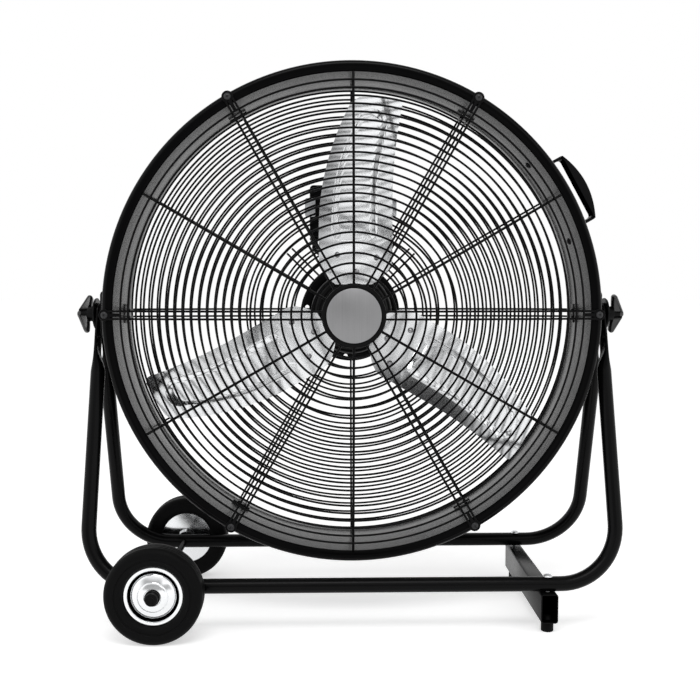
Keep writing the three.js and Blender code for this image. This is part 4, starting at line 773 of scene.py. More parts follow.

# ---------------------------------------------------------------- drum
# A band of sheet steel, rolled round, with its two edges turned outward and rolled over into
# stiff rims. One coat is given in copies that reflect different amounts, for light and shade: the
# band more, so its inside reads grey; the rims' fronts hardly at all, as painted shade; the rolls'
# outer part a little, as a painted highlight.

DRUM_R = 0.312
DRUM_OUTER_R = DRUM_R + 0.0018
HALF_DEPTH = 0.059
RIM_WIDTH = 0.015
RIM_ROLL_R = 0.006
RIM_CORNER_R = 0.003


def rim_profile(side):
    """One rim's section, from the drum's inside round the corner and the roll to its outside."""
    points = [*arc_points(DRUM_R + RIM_CORNER_R, RIM_CORNER_R, RIM_CORNER_R, 180, 270, 6),
              (DRUM_R + 0.0052, 0.0004), (DRUM_R + 0.0075, 0.0004),
              *arc_points(DRUM_R + RIM_WIDTH - RIM_ROLL_R, RIM_ROLL_R, RIM_ROLL_R, 270, 460, 16),
              (DRUM_OUTER_R + 0.0008, 2 * RIM_ROLL_R - 0.0005), (DRUM_OUTER_R, 2 * RIM_ROLL_R + 0.0008)]
    return [(r, side * (HALF_DEPTH - y)) for r, y in points]


shell = placed(lathe_piece("drum_band", rim_profile(-1) + rim_profile(1)[::-1], 224, 40), TO_AXIS)
fit_out(shell, drum_black, "powder_coat_black", "drum", "drum_shell")
# Painted shade and highlight: the rims reflect almost nothing, and the rolls' outer part takes the frames'
# coat so it shows a faint highlight.
second_finish(shell, rim_painted_shade, lambda middle: from_axis(middle) > DRUM_R + 0.0002)
second_finish(shell, powder_black, lambda middle: from_axis(middle) > DRUM_R + 0.0095)

# ---------------------------------------------------------------- tilting pivots
# Folded steel brackets welded to the drum's sides, round washers, and moulded wing knobs whose
# studs pass through both paddles and clamp the drum at any tilt. Each knob stands turned.

BRACKET_FACE_X = 0.3359
WASHER_FACE_X = 0.34495
WASHER_THICKNESS = 0.0032
WASHER_R = 0.0215
KNOB_FACE_X = 0.34845
KNOB_REACH = 0.0235
KNOB_BOSS_R = 0.0104
WING_HALF_THICKNESS, WING_EDGE, WING_SWELL = 0.0065, 0.0034, 0.0048
STUD_R = 0.004
STUD_START_X = 0.3269
TO_THE_SIDE = about("Z", -90)


def bracket_outline():
    half, flank, face, wall_r = 0.038, 0.030, BRACKET_FACE_X, DRUM_OUTER_R + 0.0003
    spread = degrees(asin(half / wall_r))
    side = [(face - 0.004, flank + 0.0015), (face - 0.001, flank - 0.001), (face, flank - 0.004)]
    return arc_points(0, 0, wall_r, -spread, spread, 10) + side + [(x, -z) for x, z in reversed(side)]


def bracket_window():
    inner, outer, half = DRUM_OUTER_R + 0.0033, BRACKET_FACE_X - 0.003, 0.027
    side = [(inner, half + 0.003), (outer - 0.003, half - 0.0005), (outer, half - 0.004)]
    return side + [(x, -z) for x, z in reversed(side)]


def wing_outline():
    """One wing of a knob from the side, swept back to a blunt tip."""
    points = ([(0.0075, 0.0034), (0.0062, 0.0105), (0.0055, 0.0190), (0.0054, 0.0230)]
              + arc_points(0.0094, 0.0230, 0.0040, 175, 22, 9)
              + [(0.0212, 0.0076), (0.0224, 0.0052), (0.0224, 0.0034)])
    return [(KNOB_FACE_X + x, z) for x, z in points]


def wing(name, steps=6):
    """A plate in the wing's outline whose two faces swell up from its rim."""
    corners = [Vector(point) for point in wing_outline()]
    rings = []
    for i in range(-steps, steps + 1):
        rise = radians(90 * (steps - abs(i)) / steps)
        ring = []
        for before, here, after in zip(corners[-1:] + corners, corners, corners[1:] + corners[:1]):
            first, second = (here - before).normalized(), (after - here).normalized()
            inward = Vector(((first + second).y, -(first + second).x)).normalized()
            reach = WING_EDGE * (1 - sin(rise)) / max(inward.dot(Vector((second.y, -second.x))), 0.6)
            moved = here + inward * reach
            ring.append((moved.x, copysign(WING_HALF_THICKNESS - WING_SWELL * (1 - cos(rise)), i),
                         moved.y))
        rings.append(ring)
    return mesh_piece(name, *skin_rings(rings), sharp=60)


def shaded_knob_hub(middle):
    """Whether a face belongs to the knob's round hub, which narrows outward, and not to a wing. The hub is
    painted a darker, duller black as the shade between the wings.
    """
    hub_r = 0.0108 - 0.55 * max(abs(middle.x) - KNOB_FACE_X - 0.009, 0)
    return hypot(middle.y, middle.z - AXIS_HEIGHT) < hub_r


for side, place, turned in ((-1, "left", -28), (1, "right", 17)):
    bracket = plate_piece(f"pivot_bracket_{place}_fold", bracket_outline(), -0.025, 0.025, 0.0008,
                          holes=[bracket_window()], edge_steps=2)
    placed(bracket, TO_AXIS, flipped(side))
    fit_out(bracket, powder_black, "powder_coat_black", "drum", f"pivot_bracket_{place}")
    washer = lathe_piece(f"pivot_washer_{place}_disc", [
        (STUD_R + 0.0006, 0), (WASHER_R - 0.0004, 0), (WASHER_R, 0.0004), (WASHER_R, 0.0018),
        (WASHER_R - 0.0007, 0.0028), (WASHER_R - 0.0022, WASHER_THICKNESS), (0.0125, WASHER_THICKNESS),
        (0.0118, WASHER_THICKNESS - 0.0008), (STUD_R + 0.0006, WASHER_THICKNESS - 0.0008)],
        64, base=WASHER_FACE_X)
    placed(washer, TO_THE_SIDE, TO_AXIS, flipped(side))
    fit_out(washer, powder_black, "powder_coat_black", "stand", f"pivot_washer_{place}")
    wings = wing(f"pivot_knob_{place}_wings")
    lower_wing = placed(wing("lower_wing"), flipped(-1, "Z"))
    boss = lathe_piece("knob_boss", [
        (0, 0), (KNOB_BOSS_R - 0.0008, 0), (KNOB_BOSS_R, 0.0008), (KNOB_BOSS_R * 0.94, 0.0086),
        (KNOB_BOSS_R * 0.88, 0.0094), (KNOB_BOSS_R * 0.56, 0.0098), (0.0050, 0.0185),
        (0.0040, KNOB_REACH - 0.0006), (0.0034, KNOB_REACH), (0, KNOB_REACH)], 40, base=KNOB_FACE_X)
    stud = lathe_piece("knob_stud", [
        (0, STUD_START_X), (STUD_R - 0.0006, STUD_START_X), (STUD_R, STUD_START_X + 0.0006),
        (STUD_R, KNOB_FACE_X + 0.001), (0, KNOB_FACE_X + 0.001)], 24)
    joined(wings, lower_wing, placed(boss, TO_THE_SIDE), placed(stud, TO_THE_SIDE))
    placed(wings, about("X", turned), TO_AXIS, flipped(side))
    fit_out(wings, knob_black, "plastic_black", f"knob_{place}", f"pivot_knob_{place}")
    # Painted shade: the hub between the wings gets the darker moulded black, while the wings keep the satin
    # finish.
    second_finish(wings, plastic_black, shaded_knob_hub)

# ---------------------------------------------------------------- carry handle
# A moulded bow on the drum's side: two flat feet screwed through the band, two short upright
# legs, and between them a crescent grip that is straight on the side of the fingers.

HANDLE_ANGLE = 29.25
HANDLE_SCREW_ANGLE = degrees(asin(0.059 / DRUM_OUTER_R))
HANDLE_HALF = 0.048
HANDLE_LEG = 0.004
HANDLE_INNER_R = 0.3490
HANDLE_SHOULDER_R = 0.3514
HANDLE_TOP_R = 0.3622
HANDLE_FOOT_END = 0.070
HANDLE_HALF_WIDTH = 0.0095


def handle_outline():
    """Seen along the fan's axis, with the grip's middle on the +X side."""

    def on_wall(z, height):
        return sqrt((DRUM_OUTER_R + 0.0003) ** 2 - z ** 2) + height, z

    inner = HANDLE_HALF - HANDLE_LEG
    under = [on_wall(z, 0) for z in (-HANDLE_FOOT_END, -0.062, -0.054, -inner)]
    under += [(HANDLE_INNER_R - 0.004, -inner), (HANDLE_INNER_R - 0.001, -inner + 0.0012),
              (HANDLE_INNER_R, -inner + 0.004)]
    over = [(HANDLE_SHOULDER_R + (HANDLE_TOP_R - HANDLE_SHOULDER_R) * (1 - (i / 12) ** 2),
             -HANDLE_HALF * (i / 12) * 0.985) for i in range(13)]
    over += [(HANDLE_SHOULDER_R - 0.003, -HANDLE_HALF), on_wall(-HANDLE_HALF - 0.0004, 0.009),
             on_wall(-HANDLE_HALF - 0.003, 0.0062), on_wall(-0.060, 0.0060),
             on_wall(-HANDLE_FOOT_END, 0.0052)]
    return (under + [(x, -z) for x, z in reversed(under)] + [(x, -z) for x, z in reversed(over)]
            + over[1:])


handle = plate_piece("carry_handle_bow", handle_outline(), -HANDLE_HALF_WIDTH, HANDLE_HALF_WIDTH,
                     0.0014, sharp=50)
placed(handle, about("Y", -HANDLE_ANGLE), TO_AXIS)
fit_out(handle, plastic_black, "plastic_black", "drum", "carry_handle")
# Painted shade: the grip's underside, on the side of the fingers and facing the drum, is painted flat black
# as the shade under the bow.
second_finish(handle, painted_shade, lambda middle: abs(
    middle.x * cos(radians(HANDLE_ANGLE)) + (middle.z - AXIS_HEIGHT) * sin(radians(HANDLE_ANGLE))
    - HANDLE_INNER_R) < 0.0012)

handle_screws = cross_recess_screw("handle_screws", *PAN_HEAD, 0.0060, 24)
placed(handle_screws, TO_THE_SIDE, shift((DRUM_R - 0.0003, 0, 0)))
round_the_drum(handle_screws, screw_black, 2, radians(HANDLE_ANGLE - HANDLE_SCREW_ANGLE),
               radians(2 * HANDLE_SCREW_ANGLE))
fit_out(handle_screws, screw_black, "screw_black", "drum", "handle_screw_1", "handle_screw_2")

# ---------------------------------------------------------------- rear guard
# A spider's web of black wire: rings welded on to straight wires that run out from the motor
# plate, some single and some in pairs. Each pair turns forward along the band to a tab.

WIRE_R = 0.0014
SINGLE_R = 0.0017
WIRE_SIDES = 8
SPOKE_DEPTH = 2 * WIRE_R - 0.0003
PAIR_HALF = 0.005
SPOKE_START_R = 0.061
REAR_LAST_RING_R = 0.3099
REAR_FIRST_RING_R = 0.082
REAR_PITCH = 0.0114
REAR_RINGS = 21
REAR_FACE_Y = 0.053
REAR_BULGE = 0.030
REAR_LUG_R = 0.3105
REAR_LUG_Y = 0.019
REAR_WALL_R = REAR_LUG_R - 0.002 - WIRE_R + 0.0002
ARM_REACH = 0.125
MOTOR_PLATE_Y = 0.0768

ring_tree, ring_in, ring_out = geometry_tree("stacked_rings", {
    "Rings": "Int", "Wide Rings": "Int", "First Ring": "Float", "Wide Pitch": "Float",
    "Close Pitch": "Float", "Last Ring": "Float", "Face": "Float", "Bulge": "Float",
    "Wire": "Float", "Axis Height": "Float", "Finish": "Material"})


def ring_math(operation, first, second):
    return math_node(ring_tree, operation, first, second)


def wire_mesh(tree, line, radius, **ends):
    """A round wire of a radius along curves."""
    section = feed(tree, "GeometryNodeCurvePrimitiveCircle", {"Resolution": WIRE_SIDES, "Radius": radius})
    return feed(tree, "GeometryNodeCurveToMesh", {"Curve": line, "Profile Curve": section, **ends})


ring_index = feed(ring_tree, "GeometryNodeInputIndex")
wide_steps = ring_math("MINIMUM", ring_index, ring_in["Wide Rings"])
close_steps = ring_math("SUBTRACT", ring_index, wide_steps)
ring_radius = ring_math("ADD", ring_in["First Ring"], ring_math(
    "ADD", ring_math("MULTIPLY", wide_steps, ring_in["Wide Pitch"]),
    ring_math("MULTIPLY", close_steps, ring_in["Close Pitch"])))
ring_share = ring_math("DIVIDE", ring_radius, ring_in["Last Ring"])
ring_rise = ring_math("MULTIPLY", ring_in["Bulge"],
                      ring_math("SUBTRACT", 1.0, ring_math("POWER", ring_share, 2.0)))
ring_spot = feed(ring_tree, "ShaderNodeCombineXYZ", {
    "Y": ring_math("ADD", ring_in["Face"], ring_rise), "Z": ring_in["Axis Height"]})
ring_copies = feed(ring_tree, "GeometryNodeInstanceOnPoints", {
    "Points": feed(ring_tree, "GeometryNodePoints", {"Count": ring_in["Rings"], "Position": ring_spot}),
    "Instance": feed(ring_tree, "GeometryNodeCurvePrimitiveCircle", {"Resolution": 176, "Radius": 1.0}),
    "Rotation": feed(ring_tree, "FunctionNodeEulerToRotation", {0: (pi / 2, 0, 0)}),
    "Scale": ring_radius})
ring_lines = feed(ring_tree, "GeometryNodeSetCurveRadius", {
    "Curve": feed(ring_tree, "GeometryNodeRealizeInstances", {0: ring_copies}), "Radius": 1.0})
painted(ring_tree, ring_in, ring_out, wire_mesh(ring_tree, ring_lines, ring_in["Wire"]))

bent_tree, bent_in, bent_out = geometry_tree(
    "bent_wires", {"Wire": "Float", "Bend": "Float", **ROUND_THE_AXIS})
bent_line = feed(bent_tree, "GeometryNodeFilletCurve", {
    "Curve": feed(bent_tree, "GeometryNodeMeshToCurve", {"Mesh": bent_in["Geometry"]}),
    "Radius": bent_in["Bend"], "Count": 4, "Limit Radius": True}, mode="POLY")
painted(bent_tree, bent_in, bent_out, copies_round_the_axis(
    bent_tree, bent_in, wire_mesh(bent_tree, bent_line, bent_in["Wire"], **{"Fill Caps": True})))


def wire_lines(name, lines):
    """Wires' centre lines as loose edges, for the tree that bends and repeats them."""
    vertices, edges = [], []
    for line in lines:
        start = len(vertices)
        vertices += line
        edges += [(start + i, start + i + 1) for i in range(len(line) - 1)]
    mesh = bpy.data.meshes.new(name)
    mesh.from_pydata(vertices, edges, [])
    piece = bpy.data.objects.new(name, mesh)
    scene.collection.objects.link(piece)
    return piece


def guard_wires(name, lines, bend, count=6, first_angle=0.0, wire=WIRE_R):
    return round_the_drum(wire_lines(name, lines), wire_black, count, first_angle, tree=bent_tree,
                          sharp=60, wire=wire, bend=bend)


def guard_rings(name, rings, wide, first, wide_pitch, close_pitch, last, face, bulge):
    return grown(wire_lines(name, []), ring_tree, wire_black, 60, rings=rings, wide_rings=wide,
                 first_ring=first, wide_pitch=wide_pitch, close_pitch=close_pitch, last_ring=last,
                 face=face, bulge=bulge, wire=WIRE_R)


def dished_line(start, end, offset, rise, steps=14):
    """A straight wire seen from the front, that follows a guard's dish. rise(r) is its y."""
    places = [start + (end - start) * i / steps for i in range(steps + 1)]
    return [Vector((x, rise(hypot(x, offset)), offset)) for x in places]


def rear_spoke_y(r):
    """Behind the motor plate a wire lies on the plate; further out it lies against the rings."""
    on_rings = REAR_FACE_Y + REAR_BULGE * (1 - (r / REAR_LAST_RING_R) ** 2) - SPOKE_DEPTH
    on_plate = MOTOR_PLATE_Y + WIRE_R - 0.0001
    return on_plate + (on_rings - on_plate) * eased((r - 0.066) / 0.02)


rear_single = [about("Y", -30) @ point for point in dished_line(
    SPOKE_START_R, REAR_LAST_RING_R + 0.0005, 0, rear_spoke_y)]
rear_pair = [[*dished_line(SPOKE_START_R, REAR_LAST_RING_R - 0.008, z, rear_spoke_y),
              Vector((REAR_WALL_R, REAR_FACE_Y - 0.005, z)), Vector((REAR_WALL_R, REAR_LUG_Y + 0.0015, z))]
             for z in (-PAIR_HALF, PAIR_HALF)]
rear_guard = guard_wires("rear_guard_wires", [rear_single, *rear_pair], 0.004)
rear_arms = guard_wires("rear_arms", [dished_line(SPOKE_START_R, ARM_REACH, z, rear_spoke_y, 6)
                                      for z in (-PAIR_HALF, PAIR_HALF)], 0.004, 4, pi / 4)
rear_rings = guard_rings("rear_rings", REAR_RINGS, 0, REAR_FIRST_RING_R, REAR_PITCH, REAR_PITCH,
                         REAR_LAST_RING_R, REAR_FACE_Y, REAR_BULGE)
rear_tab = plate_piece("rear_tab", rounded_outline(0.002, 0.026, 0.0008, REAR_LUG_R - 0.001),
                       REAR_LUG_Y, REAR_LUG_Y + 0.010, 0.0003, edge_steps=1)
joined(rear_guard, rear_arms, rear_rings, round_the_drum(rear_tab, wire_black, 6))
fit_out(rear_guard, wire_black, "wire_black", "drum", "rear_guard")

# ---------------------------------------------------------------- motor
# A round black motor, its can ribbed for cooling and its front cover pressed in steps, screwed
# to a disc in the middle of the rear guard. A black lead enters its side.

MOTOR_R = 0.057
MOTOR_BACK_Y = 0.0740
MOTOR_FRONT_Y = 0.0160
MOTOR_RIBS = 7
MOTOR_PLATE_R = 0.070
MOTOR_HOLE_R = 0.003
MOTOR_HOLE_CENTRE_R = 0.0635
MOTOR_HOLE_ANGLES = (83, 173, 263, 353)
LEAD_R = 0.003
LEAD_ROUTE = ((-0.0530, 0.0964, 0.5014), (-0.0530, 0.0964, 0.4964), (-0.0343, 0.0896, 0.4847),
              (-0.0343, 0.0806, 0.4847), (-0.0343, 0.0716, 0.4847), (-0.0269, 0.0586, 0.4673),
              (-0.0224, 0.0556, 0.4568))

motor_holes = [circle_outline(MOTOR_HOLE_R, 24, MOTOR_HOLE_CENTRE_R * cos(radians(a)),
                              MOTOR_HOLE_CENTRE_R * sin(radians(a))) for a in MOTOR_HOLE_ANGLES]
motor_plate = plate_piece("motor_disc", circle_outline(MOTOR_PLATE_R), MOTOR_PLATE_Y - 0.0025,
                          MOTOR_PLATE_Y, 0.0004, holes=motor_holes, edge_steps=2)
motor_step = plate_piece("motor_step", circle_outline(0.067), MOTOR_PLATE_Y - 0.0036,
                         MOTOR_PLATE_Y - 0.0024, 0.0004,
                         holes=[circle_outline(0.058), *motor_holes], edge_steps=2)
placed(joined(motor_plate, motor_step), TO_AXIS)
fit_out(motor_plate, motor_black, "motor_black", "drum", "motor_plate")

# The can's ribs from the back, then the front cover's steps, inward to the shaft's bore.
ribs = [(MOTOR_R - cut, MOTOR_BACK_Y - 0.005 - 0.0044 * i - down) for i in range(MOTOR_RIBS)
        for cut, down in ((0, 0), (0.0024, 0.0006), (0.0024, 0.0024), (0, 0.0030))]
cover = ((0.0566, 0.0215), (0.0548, 0.0172), (0.0524, 0.0146), (0.0512, 0.0142), (0.0506, 0.0128),
         (0.0482, 0.0096), (0.0472, 0.0092), (0.0466, 0.0078), (0.0436, 0.0052), (0.0427, 0.0049),
         (0.0420, 0.0036), (0.0385, 0.0018), (0.0376, 0.0016), (0.0368, 0.0004), (0.0330, 0.0000),
         (0.0300, 0.0000), (0.0292, 0.0012), (0.0225, 0.0012), (0.0217, 0.0000), (0.0142, 0.0000),
         (0.0140, -0.0036), (0.0136, -0.0040), (0.0066, -0.0040), (0.0066, 0.004), (0, 0.004))
motor = lathe_piece("motor_can", [
    (0, MOTOR_BACK_Y), (MOTOR_R - 0.0006, MOTOR_BACK_Y), (MOTOR_R, MOTOR_BACK_Y - 0.0006), *ribs,
    *[(r, MOTOR_FRONT_Y + rise) for r, rise in cover]], 112, 30)
fit_out(placed(motor, TO_AXIS), motor_black, "motor_black", "drum", "motor_body")

lead_line = bpy.data.curves.new("motor_cable", "CURVE")
lead_line.dimensions = "3D"
lead_line.resolution_u = 10
lead_spline = lead_line.splines.new("BEZIER")
lead_spline.bezier_points.add(len(LEAD_ROUTE) - 1)
for point, place in zip(lead_spline.bezier_points, LEAD_ROUTE):
    point.co = place
    point.handle_left_type = point.handle_right_type = "AUTO"
lead_line.bevel_depth = LEAD_R
lead_line.bevel_resolution = 4
lead_line.use_fill_caps = True
fit_out(curve_piece("motor_cable", lead_line), plastic_black, "plastic_black", "drum", "motor_lead")

# ---------------------------------------------------------------- control box
# A moulded black box behind the rear guard, hung on it by two zinc-plated tabs. Its cover is held
# by four screws and carries the speed knob; the motor's lead leaves through a gland below.

BOX_WIDTH = 0.118
BOX_HEIGHT = 0.074
BOX_CENTRE_Z = AXIS_HEIGHT + 0.146
BOX_FRONT_Y = 0.082
BOX_BACK_Y = 0.118
COVER_BACK_Y = 0.1213
COVER_SCREW_X, COVER_SCREW_Z = 0.0525, 0.0305
DIAL_R = 0.0225
KNOB_FACE_Y = 0.1219
KNOB_SHAFT_START_Y = 0.1066
SPEED_KNOB_R = 0.017
SPEED_KNOB_HEIGHT = 0.017
BOX_TAB_X = 0.0585
BOX_TAB_Z = 0.15082
BOX_TAB_BACK_Y = 0.0817
BOX_TAB_FRONT_Y = BOX_TAB_BACK_Y - 0.002
GLAND_X = -0.053
GLAND_Y = 0.0964
TO_BOX = shift((0, 0, BOX_CENTRE_Z))

box_body = plate_piece("control_box_body", rounded_outline(BOX_WIDTH, BOX_HEIGHT, 0.005), BOX_FRONT_Y,
                       BOX_BACK_Y, 0.0016)
fit_out(placed(box_body, TO_BOX), plastic_black, "plastic_black", "drum", "control_box")
box_cover = plate_piece("control_box_lid", rounded_outline(BOX_WIDTH + 0.002, BOX_HEIGHT + 0.002, 0.006),
                        BOX_BACK_Y + 0.0003, COVER_BACK_Y, 0.0010)
dial_plate = plate_piece("dial_plate", circle_outline(0.0265, 64), COVER_BACK_Y - 0.0002,
                         COVER_BACK_Y + 0.0002, 0.0001, edge_steps=1)
placed(joined(box_cover, dial_plate), TO_BOX)
fit_out(box_cover, plastic_black, "plastic_black", "drum", "control_box_cover")

cover_screws = joined(*[placed(
    cross_recess_screw("cover_screws", *SMALL_PAN_HEAD, 0.0030, 24), about("Z", 180),
    shift((x * COVER_SCREW_X, COVER_BACK_Y, BOX_CENTRE_Z + z * COVER_SCREW_Z)))
    for x, z in ((-1, -1), (-1, 1), (1, -1), (1, 1))])
fit_out(cover_screws, screw_black, "screw_black", "drum")

# Printed marks round the speed knob: an open ring for off, then longer and longer bars.
marks = []
for step in range(4):
    outline = rounded_outline(0.0010, 0.0014 + 0.0009 * step, 0.0004, 0, DIAL_R)
    mark = plate_piece("dial_marks", outline if step else circle_outline(0.0013, 20, 0, DIAL_R),
                       COVER_BACK_Y + 0.0001, COVER_BACK_Y + 0.0003, 0.00004,
                       holes=() if step else [circle_outline(0.0008, 16, 0, DIAL_R)], edge_steps=1)
    marks.append(placed(mark, about("Y", -45 * step), TO_BOX))
fit_out(joined(*marks), mark_white, "plastic_black", "drum")

knob_skirt = lathe_piece("speed_knob_grip", [
    (0, 0), (SPEED_KNOB_R - 0.0006, 0), (SPEED_KNOB_R, 0.0006), (SPEED_KNOB_R - 0.0003, 0.0045),
    (SPEED_KNOB_R - 0.0022, 0.0066), (SPEED_KNOB_R - 0.0034, 0.0075), (0, 0.0078)], base=KNOB_FACE_Y)
knob_grip = plate_piece("knob_grip", rounded_outline(SPEED_KNOB_R * 0.55, SPEED_KNOB_R * 1.8, 0.0034),
                        KNOB_FACE_Y + 0.001, KNOB_FACE_Y + SPEED_KNOB_HEIGHT, 0.0012)
knob_shaft = lathe_piece("knob_shaft", [
    (0, KNOB_SHAFT_START_Y), (0.0026, KNOB_SHAFT_START_Y), (0.003, KNOB_SHAFT_START_Y + 0.0004),
    (0.003, KNOB_FACE_Y + 0.001), (0, KNOB_FACE_Y + 0.001)], 24)
placed(joined(knob_skirt, knob_grip, knob_shaft), TO_BOX)
fit_out(knob_skirt, plastic_black, "plastic_black", "speed_dial", "speed_knob")
pointer = plate_piece("speed_knob_pointer", rounded_outline(0.0012, 0.0075, 0.0005, 0, 0.0102),
                      KNOB_FACE_Y + SPEED_KNOB_HEIGHT - 0.0002, KNOB_FACE_Y + SPEED_KNOB_HEIGHT,
                      0.00005, edge_steps=1)
fit_out(placed(pointer, shift((0, -0.00002, BOX_CENTRE_Z))), mark_white, "plastic_black", "speed_dial")

for side, place in ((-1, "left"), (1, "right")):
    tab = plate_piece(f"box_tab_{place}_strap", rounded_outline(0.015, 0.027, 0.003, BOX_TAB_X, BOX_TAB_Z),
                      BOX_TAB_FRONT_Y, BOX_TAB_BACK_Y, 0.0004, edge_steps=2)
    stud = lathe_piece("tab_stud", [(0, 0.0763), (0.0031, 0.0763), (0.0035, 0.0767),
                                    (0.0035, BOX_TAB_FRONT_Y + 0.001), (0, BOX_TAB_FRONT_Y + 0.001)], 24)
    rivet = lathe_piece("tab_rivet", [(0, -0.0011), (0.0011, -0.0009), (0.0019, -0.0003),
                                      (0.0021, 0.0002), (0, 0.0002)], 24, base=BOX_TAB_FRONT_Y)
    joined(tab, placed(stud, shift((BOX_TAB_X, 0, BOX_TAB_Z))),
           placed(rivet, shift((BOX_TAB_X - 0.0052, 0, BOX_TAB_Z - 0.009))))
    fit_out(placed(tab, TO_AXIS, flipped(side)), zinc_plate, "zinc_plate", "drum", f"box_tab_{place}")

gland = lathe_piece("cable_gland_nut", [
    (0, 0.008), (0.005, 0.008), (0.005, -0.0003), (0.0063, -0.0003), (0.0065, -0.0005), (0.0065, -0.0038),
    (0.0055, -0.0047), (0.0055, -0.0086), (0.0050, -0.0098), (0.0039, -0.0113), (0, -0.0113)], 12, 25)
placed(gland, about("X", 90), shift((GLAND_X, GLAND_Y, BOX_CENTRE_Z - BOX_HEIGHT / 2)))
fit_out(gland, plastic_black, "plastic_black", "drum", "cable_gland")

# ---------------------------------------------------------------- blades
# Three blades pressed from aluminium sheet, each with a long raised panel that stiffens it and a
# slightly bent strip on its right. Three rivets hold each root to an arm of the steel spider.

ROTOR_Y = -0.022
BLADE_ANGLES = (90, 210, 330)
BLADE_ROOT_R = 0.040
BLADE_TIP_R = 0.287
BLADE_HALF_THICKNESS = 0.0008
BLADE_CAMBER = 0.007
BLADE_LEFT, BLADE_LEFT_SWEEP = 0.0453, 0.0465
BLADE_RIGHT, BLADE_RIGHT_SWEEP = 0.0515, 0.0140
BLADE_TIP_CORNER = 0.008
ROOT_PITCH, PITCH_FALL = 27, 8
PANEL_ROOT_R = 0.0985
PANEL_TIP_R = 0.2717
PANEL_CORNER_R = 0.010
CREASE = 0.0006
CREASE_RISE = 0.00014
RAMP_WIDTH = 0.0048
RAMP_RISE = 0.0013
STRIP_BEND = 0.07
RIVET_PLACES = ((-0.0202, 0.0800), (0.0316, 0.0756), (0.0054, 0.0570))
BLADE_ROWS = ((BLADE_ROOT_R, 0.074, 10), (0.074, 0.097, 14), (0.097, 0.109, 18), (0.109, 0.2515, 84),
              (0.2515, 0.2725, 44), (0.2725, 0.279, 5), (0.279, BLADE_TIP_R, 6))


def share_of(value, start, end):
    return min(max((value - start) / (end - start), 0), 1)


def blade_edges(r):
    """The blade's left and right edge at a distance from the axis."""
    root = 1 - 0.5 * (1 - min((r - BLADE_ROOT_R) / 0.034, 1)) ** 2
    tip = BLADE_TIP_CORNER * max(1 - (BLADE_TIP_R - r) / BLADE_TIP_CORNER, 0) ** 2
    left = BLADE_LEFT - BLADE_LEFT_SWEEP * share_of(r, 0.115, BLADE_TIP_R) ** 2.1
    right = BLADE_RIGHT + BLADE_RIGHT_SWEEP * share_of(r, 0.150, BLADE_TIP_R) ** 1.9
    return -left * root + tip, right * root - tip


def panel_sides(r):
    """The left and right side of the pressed panel, which leans with the blade's left edge."""
    return (-0.0263 + 0.0318 * share_of(r, 0.110, 0.2525) ** 2.6,
            0.0300 + 0.0148 * share_of(r, 0.150, 0.2525) ** 1.9)


def panel_rise(r, x):
    """How far the panel stands out: a sloping border between two sharp creases."""
    left, right = panel_sides(r)
    half, middle = (right - left) / 2, (left + right) / 2
    if r > PANEL_TIP_R - half:
        inset = half - hypot(x - middle, r - (PANEL_TIP_R - half))
    else:
        beside, below = min(x - left, right - x), r - PANEL_ROOT_R
        short_x, short_r = PANEL_CORNER_R - beside, PANEL_CORNER_R - below
        inset = (PANEL_CORNER_R - hypot(short_x, short_r) if short_x > 0 and short_r > 0
                 else min(beside, below))
    ramp = RAMP_WIDTH + 0.0075 * eased((r - 0.2525) / 0.012)
    ramp += 0.0110 * eased((0.118 - r) / 0.012) * (1 - eased((x + 0.006) / 0.026))
    return (CREASE_RISE * (eased(inset / CREASE) + eased((inset - ramp) / CREASE))
            + RAMP_RISE * share_of(inset, 0, ramp))


def blade_point(r, x, behind):
    """A point of the pitched, cambered and pressed sheet, x from the blade's middle."""
    share = (r - BLADE_ROOT_R) / (BLADE_TIP_R - BLADE_ROOT_R)
    pitch = tan(radians(ROOT_PITCH - PITCH_FALL * share))
    y = ROTOR_Y - x * pitch + BLADE_CAMBER * (1 - (x / 0.053) ** 2) - panel_rise(r, x)
    sag = (BLADE_TIP_R - sqrt(BLADE_TIP_R ** 2 - x ** 2)) * share
    bend = eased((r - 0.085) / 0.02) * (1 - 0.6 * eased((r - 0.19) / 0.06))
    y -= STRIP_BEND * bend * max(x - panel_sides(r)[1], 0)
    return Vector((x, y + behind * hypot(1, pitch), r - sag))


def stepped(*runs):
    """Values from run to run, each run (start, end, steps) without its end, and the last end."""
    return [a + (b - a) * i / n for a, b, n in runs for i in range(n)] + [runs[-1][1]]


def blade_columns(r):
    """Places across the blade from edge to edge, close together along the panel's creases."""
    ruled = min(max(r, 0.098), BLADE_TIP_R - BLADE_TIP_CORNER)
    left, right = blade_edges(ruled)
    first, last = panel_sides(ruled)
    ledge, drop = first + RAMP_WIDTH, last - RAMP_WIDTH
    places = stepped((left, first, 8), (first, first + CREASE, 4), (first + CREASE, ledge, 4),
                     (ledge, ledge + CREASE, 4), (ledge + CREASE, drop - CREASE, 16),
                     (drop - CREASE, drop, 4), (drop, last - CREASE, 4), (last - CREASE, last, 4),
                     (last, right, 7))
    low, high = blade_edges(r)
    return [low + (x - left) / (right - left) * (high - low) for x in places]


def blade_sheet(name):
    rings = []
    for r in stepped(*BLADE_ROWS):
        columns = blade_columns(r)
        rings.append([blade_point(r, x, -BLADE_HALF_THICKNESS) for x in columns]
                     + [blade_point(r, x, BLADE_HALF_THICKNESS) for x in reversed(columns)])
    vertices, faces = skin_rings(rings, capped=False)
    around = len(rings[0])
    for start in (0, (len(rings) - 1) * around):
        faces += [(start + i, start + i + 1, start + around - 2 - i, start + around - 1 - i)
                  for i in range(around // 2 - 1)]
    return mesh_piece(name, vertices, faces, 45)


for number, angle in enumerate(BLADE_ANGLES, 1):
    blade = placed(blade_sheet(f"blade_{number}_sheet"), about("Y", 90 - angle), TO_AXIS)
    fit_out(blade, blade_aluminium, "blade_aluminium", "rotor", f"blade_{number}")

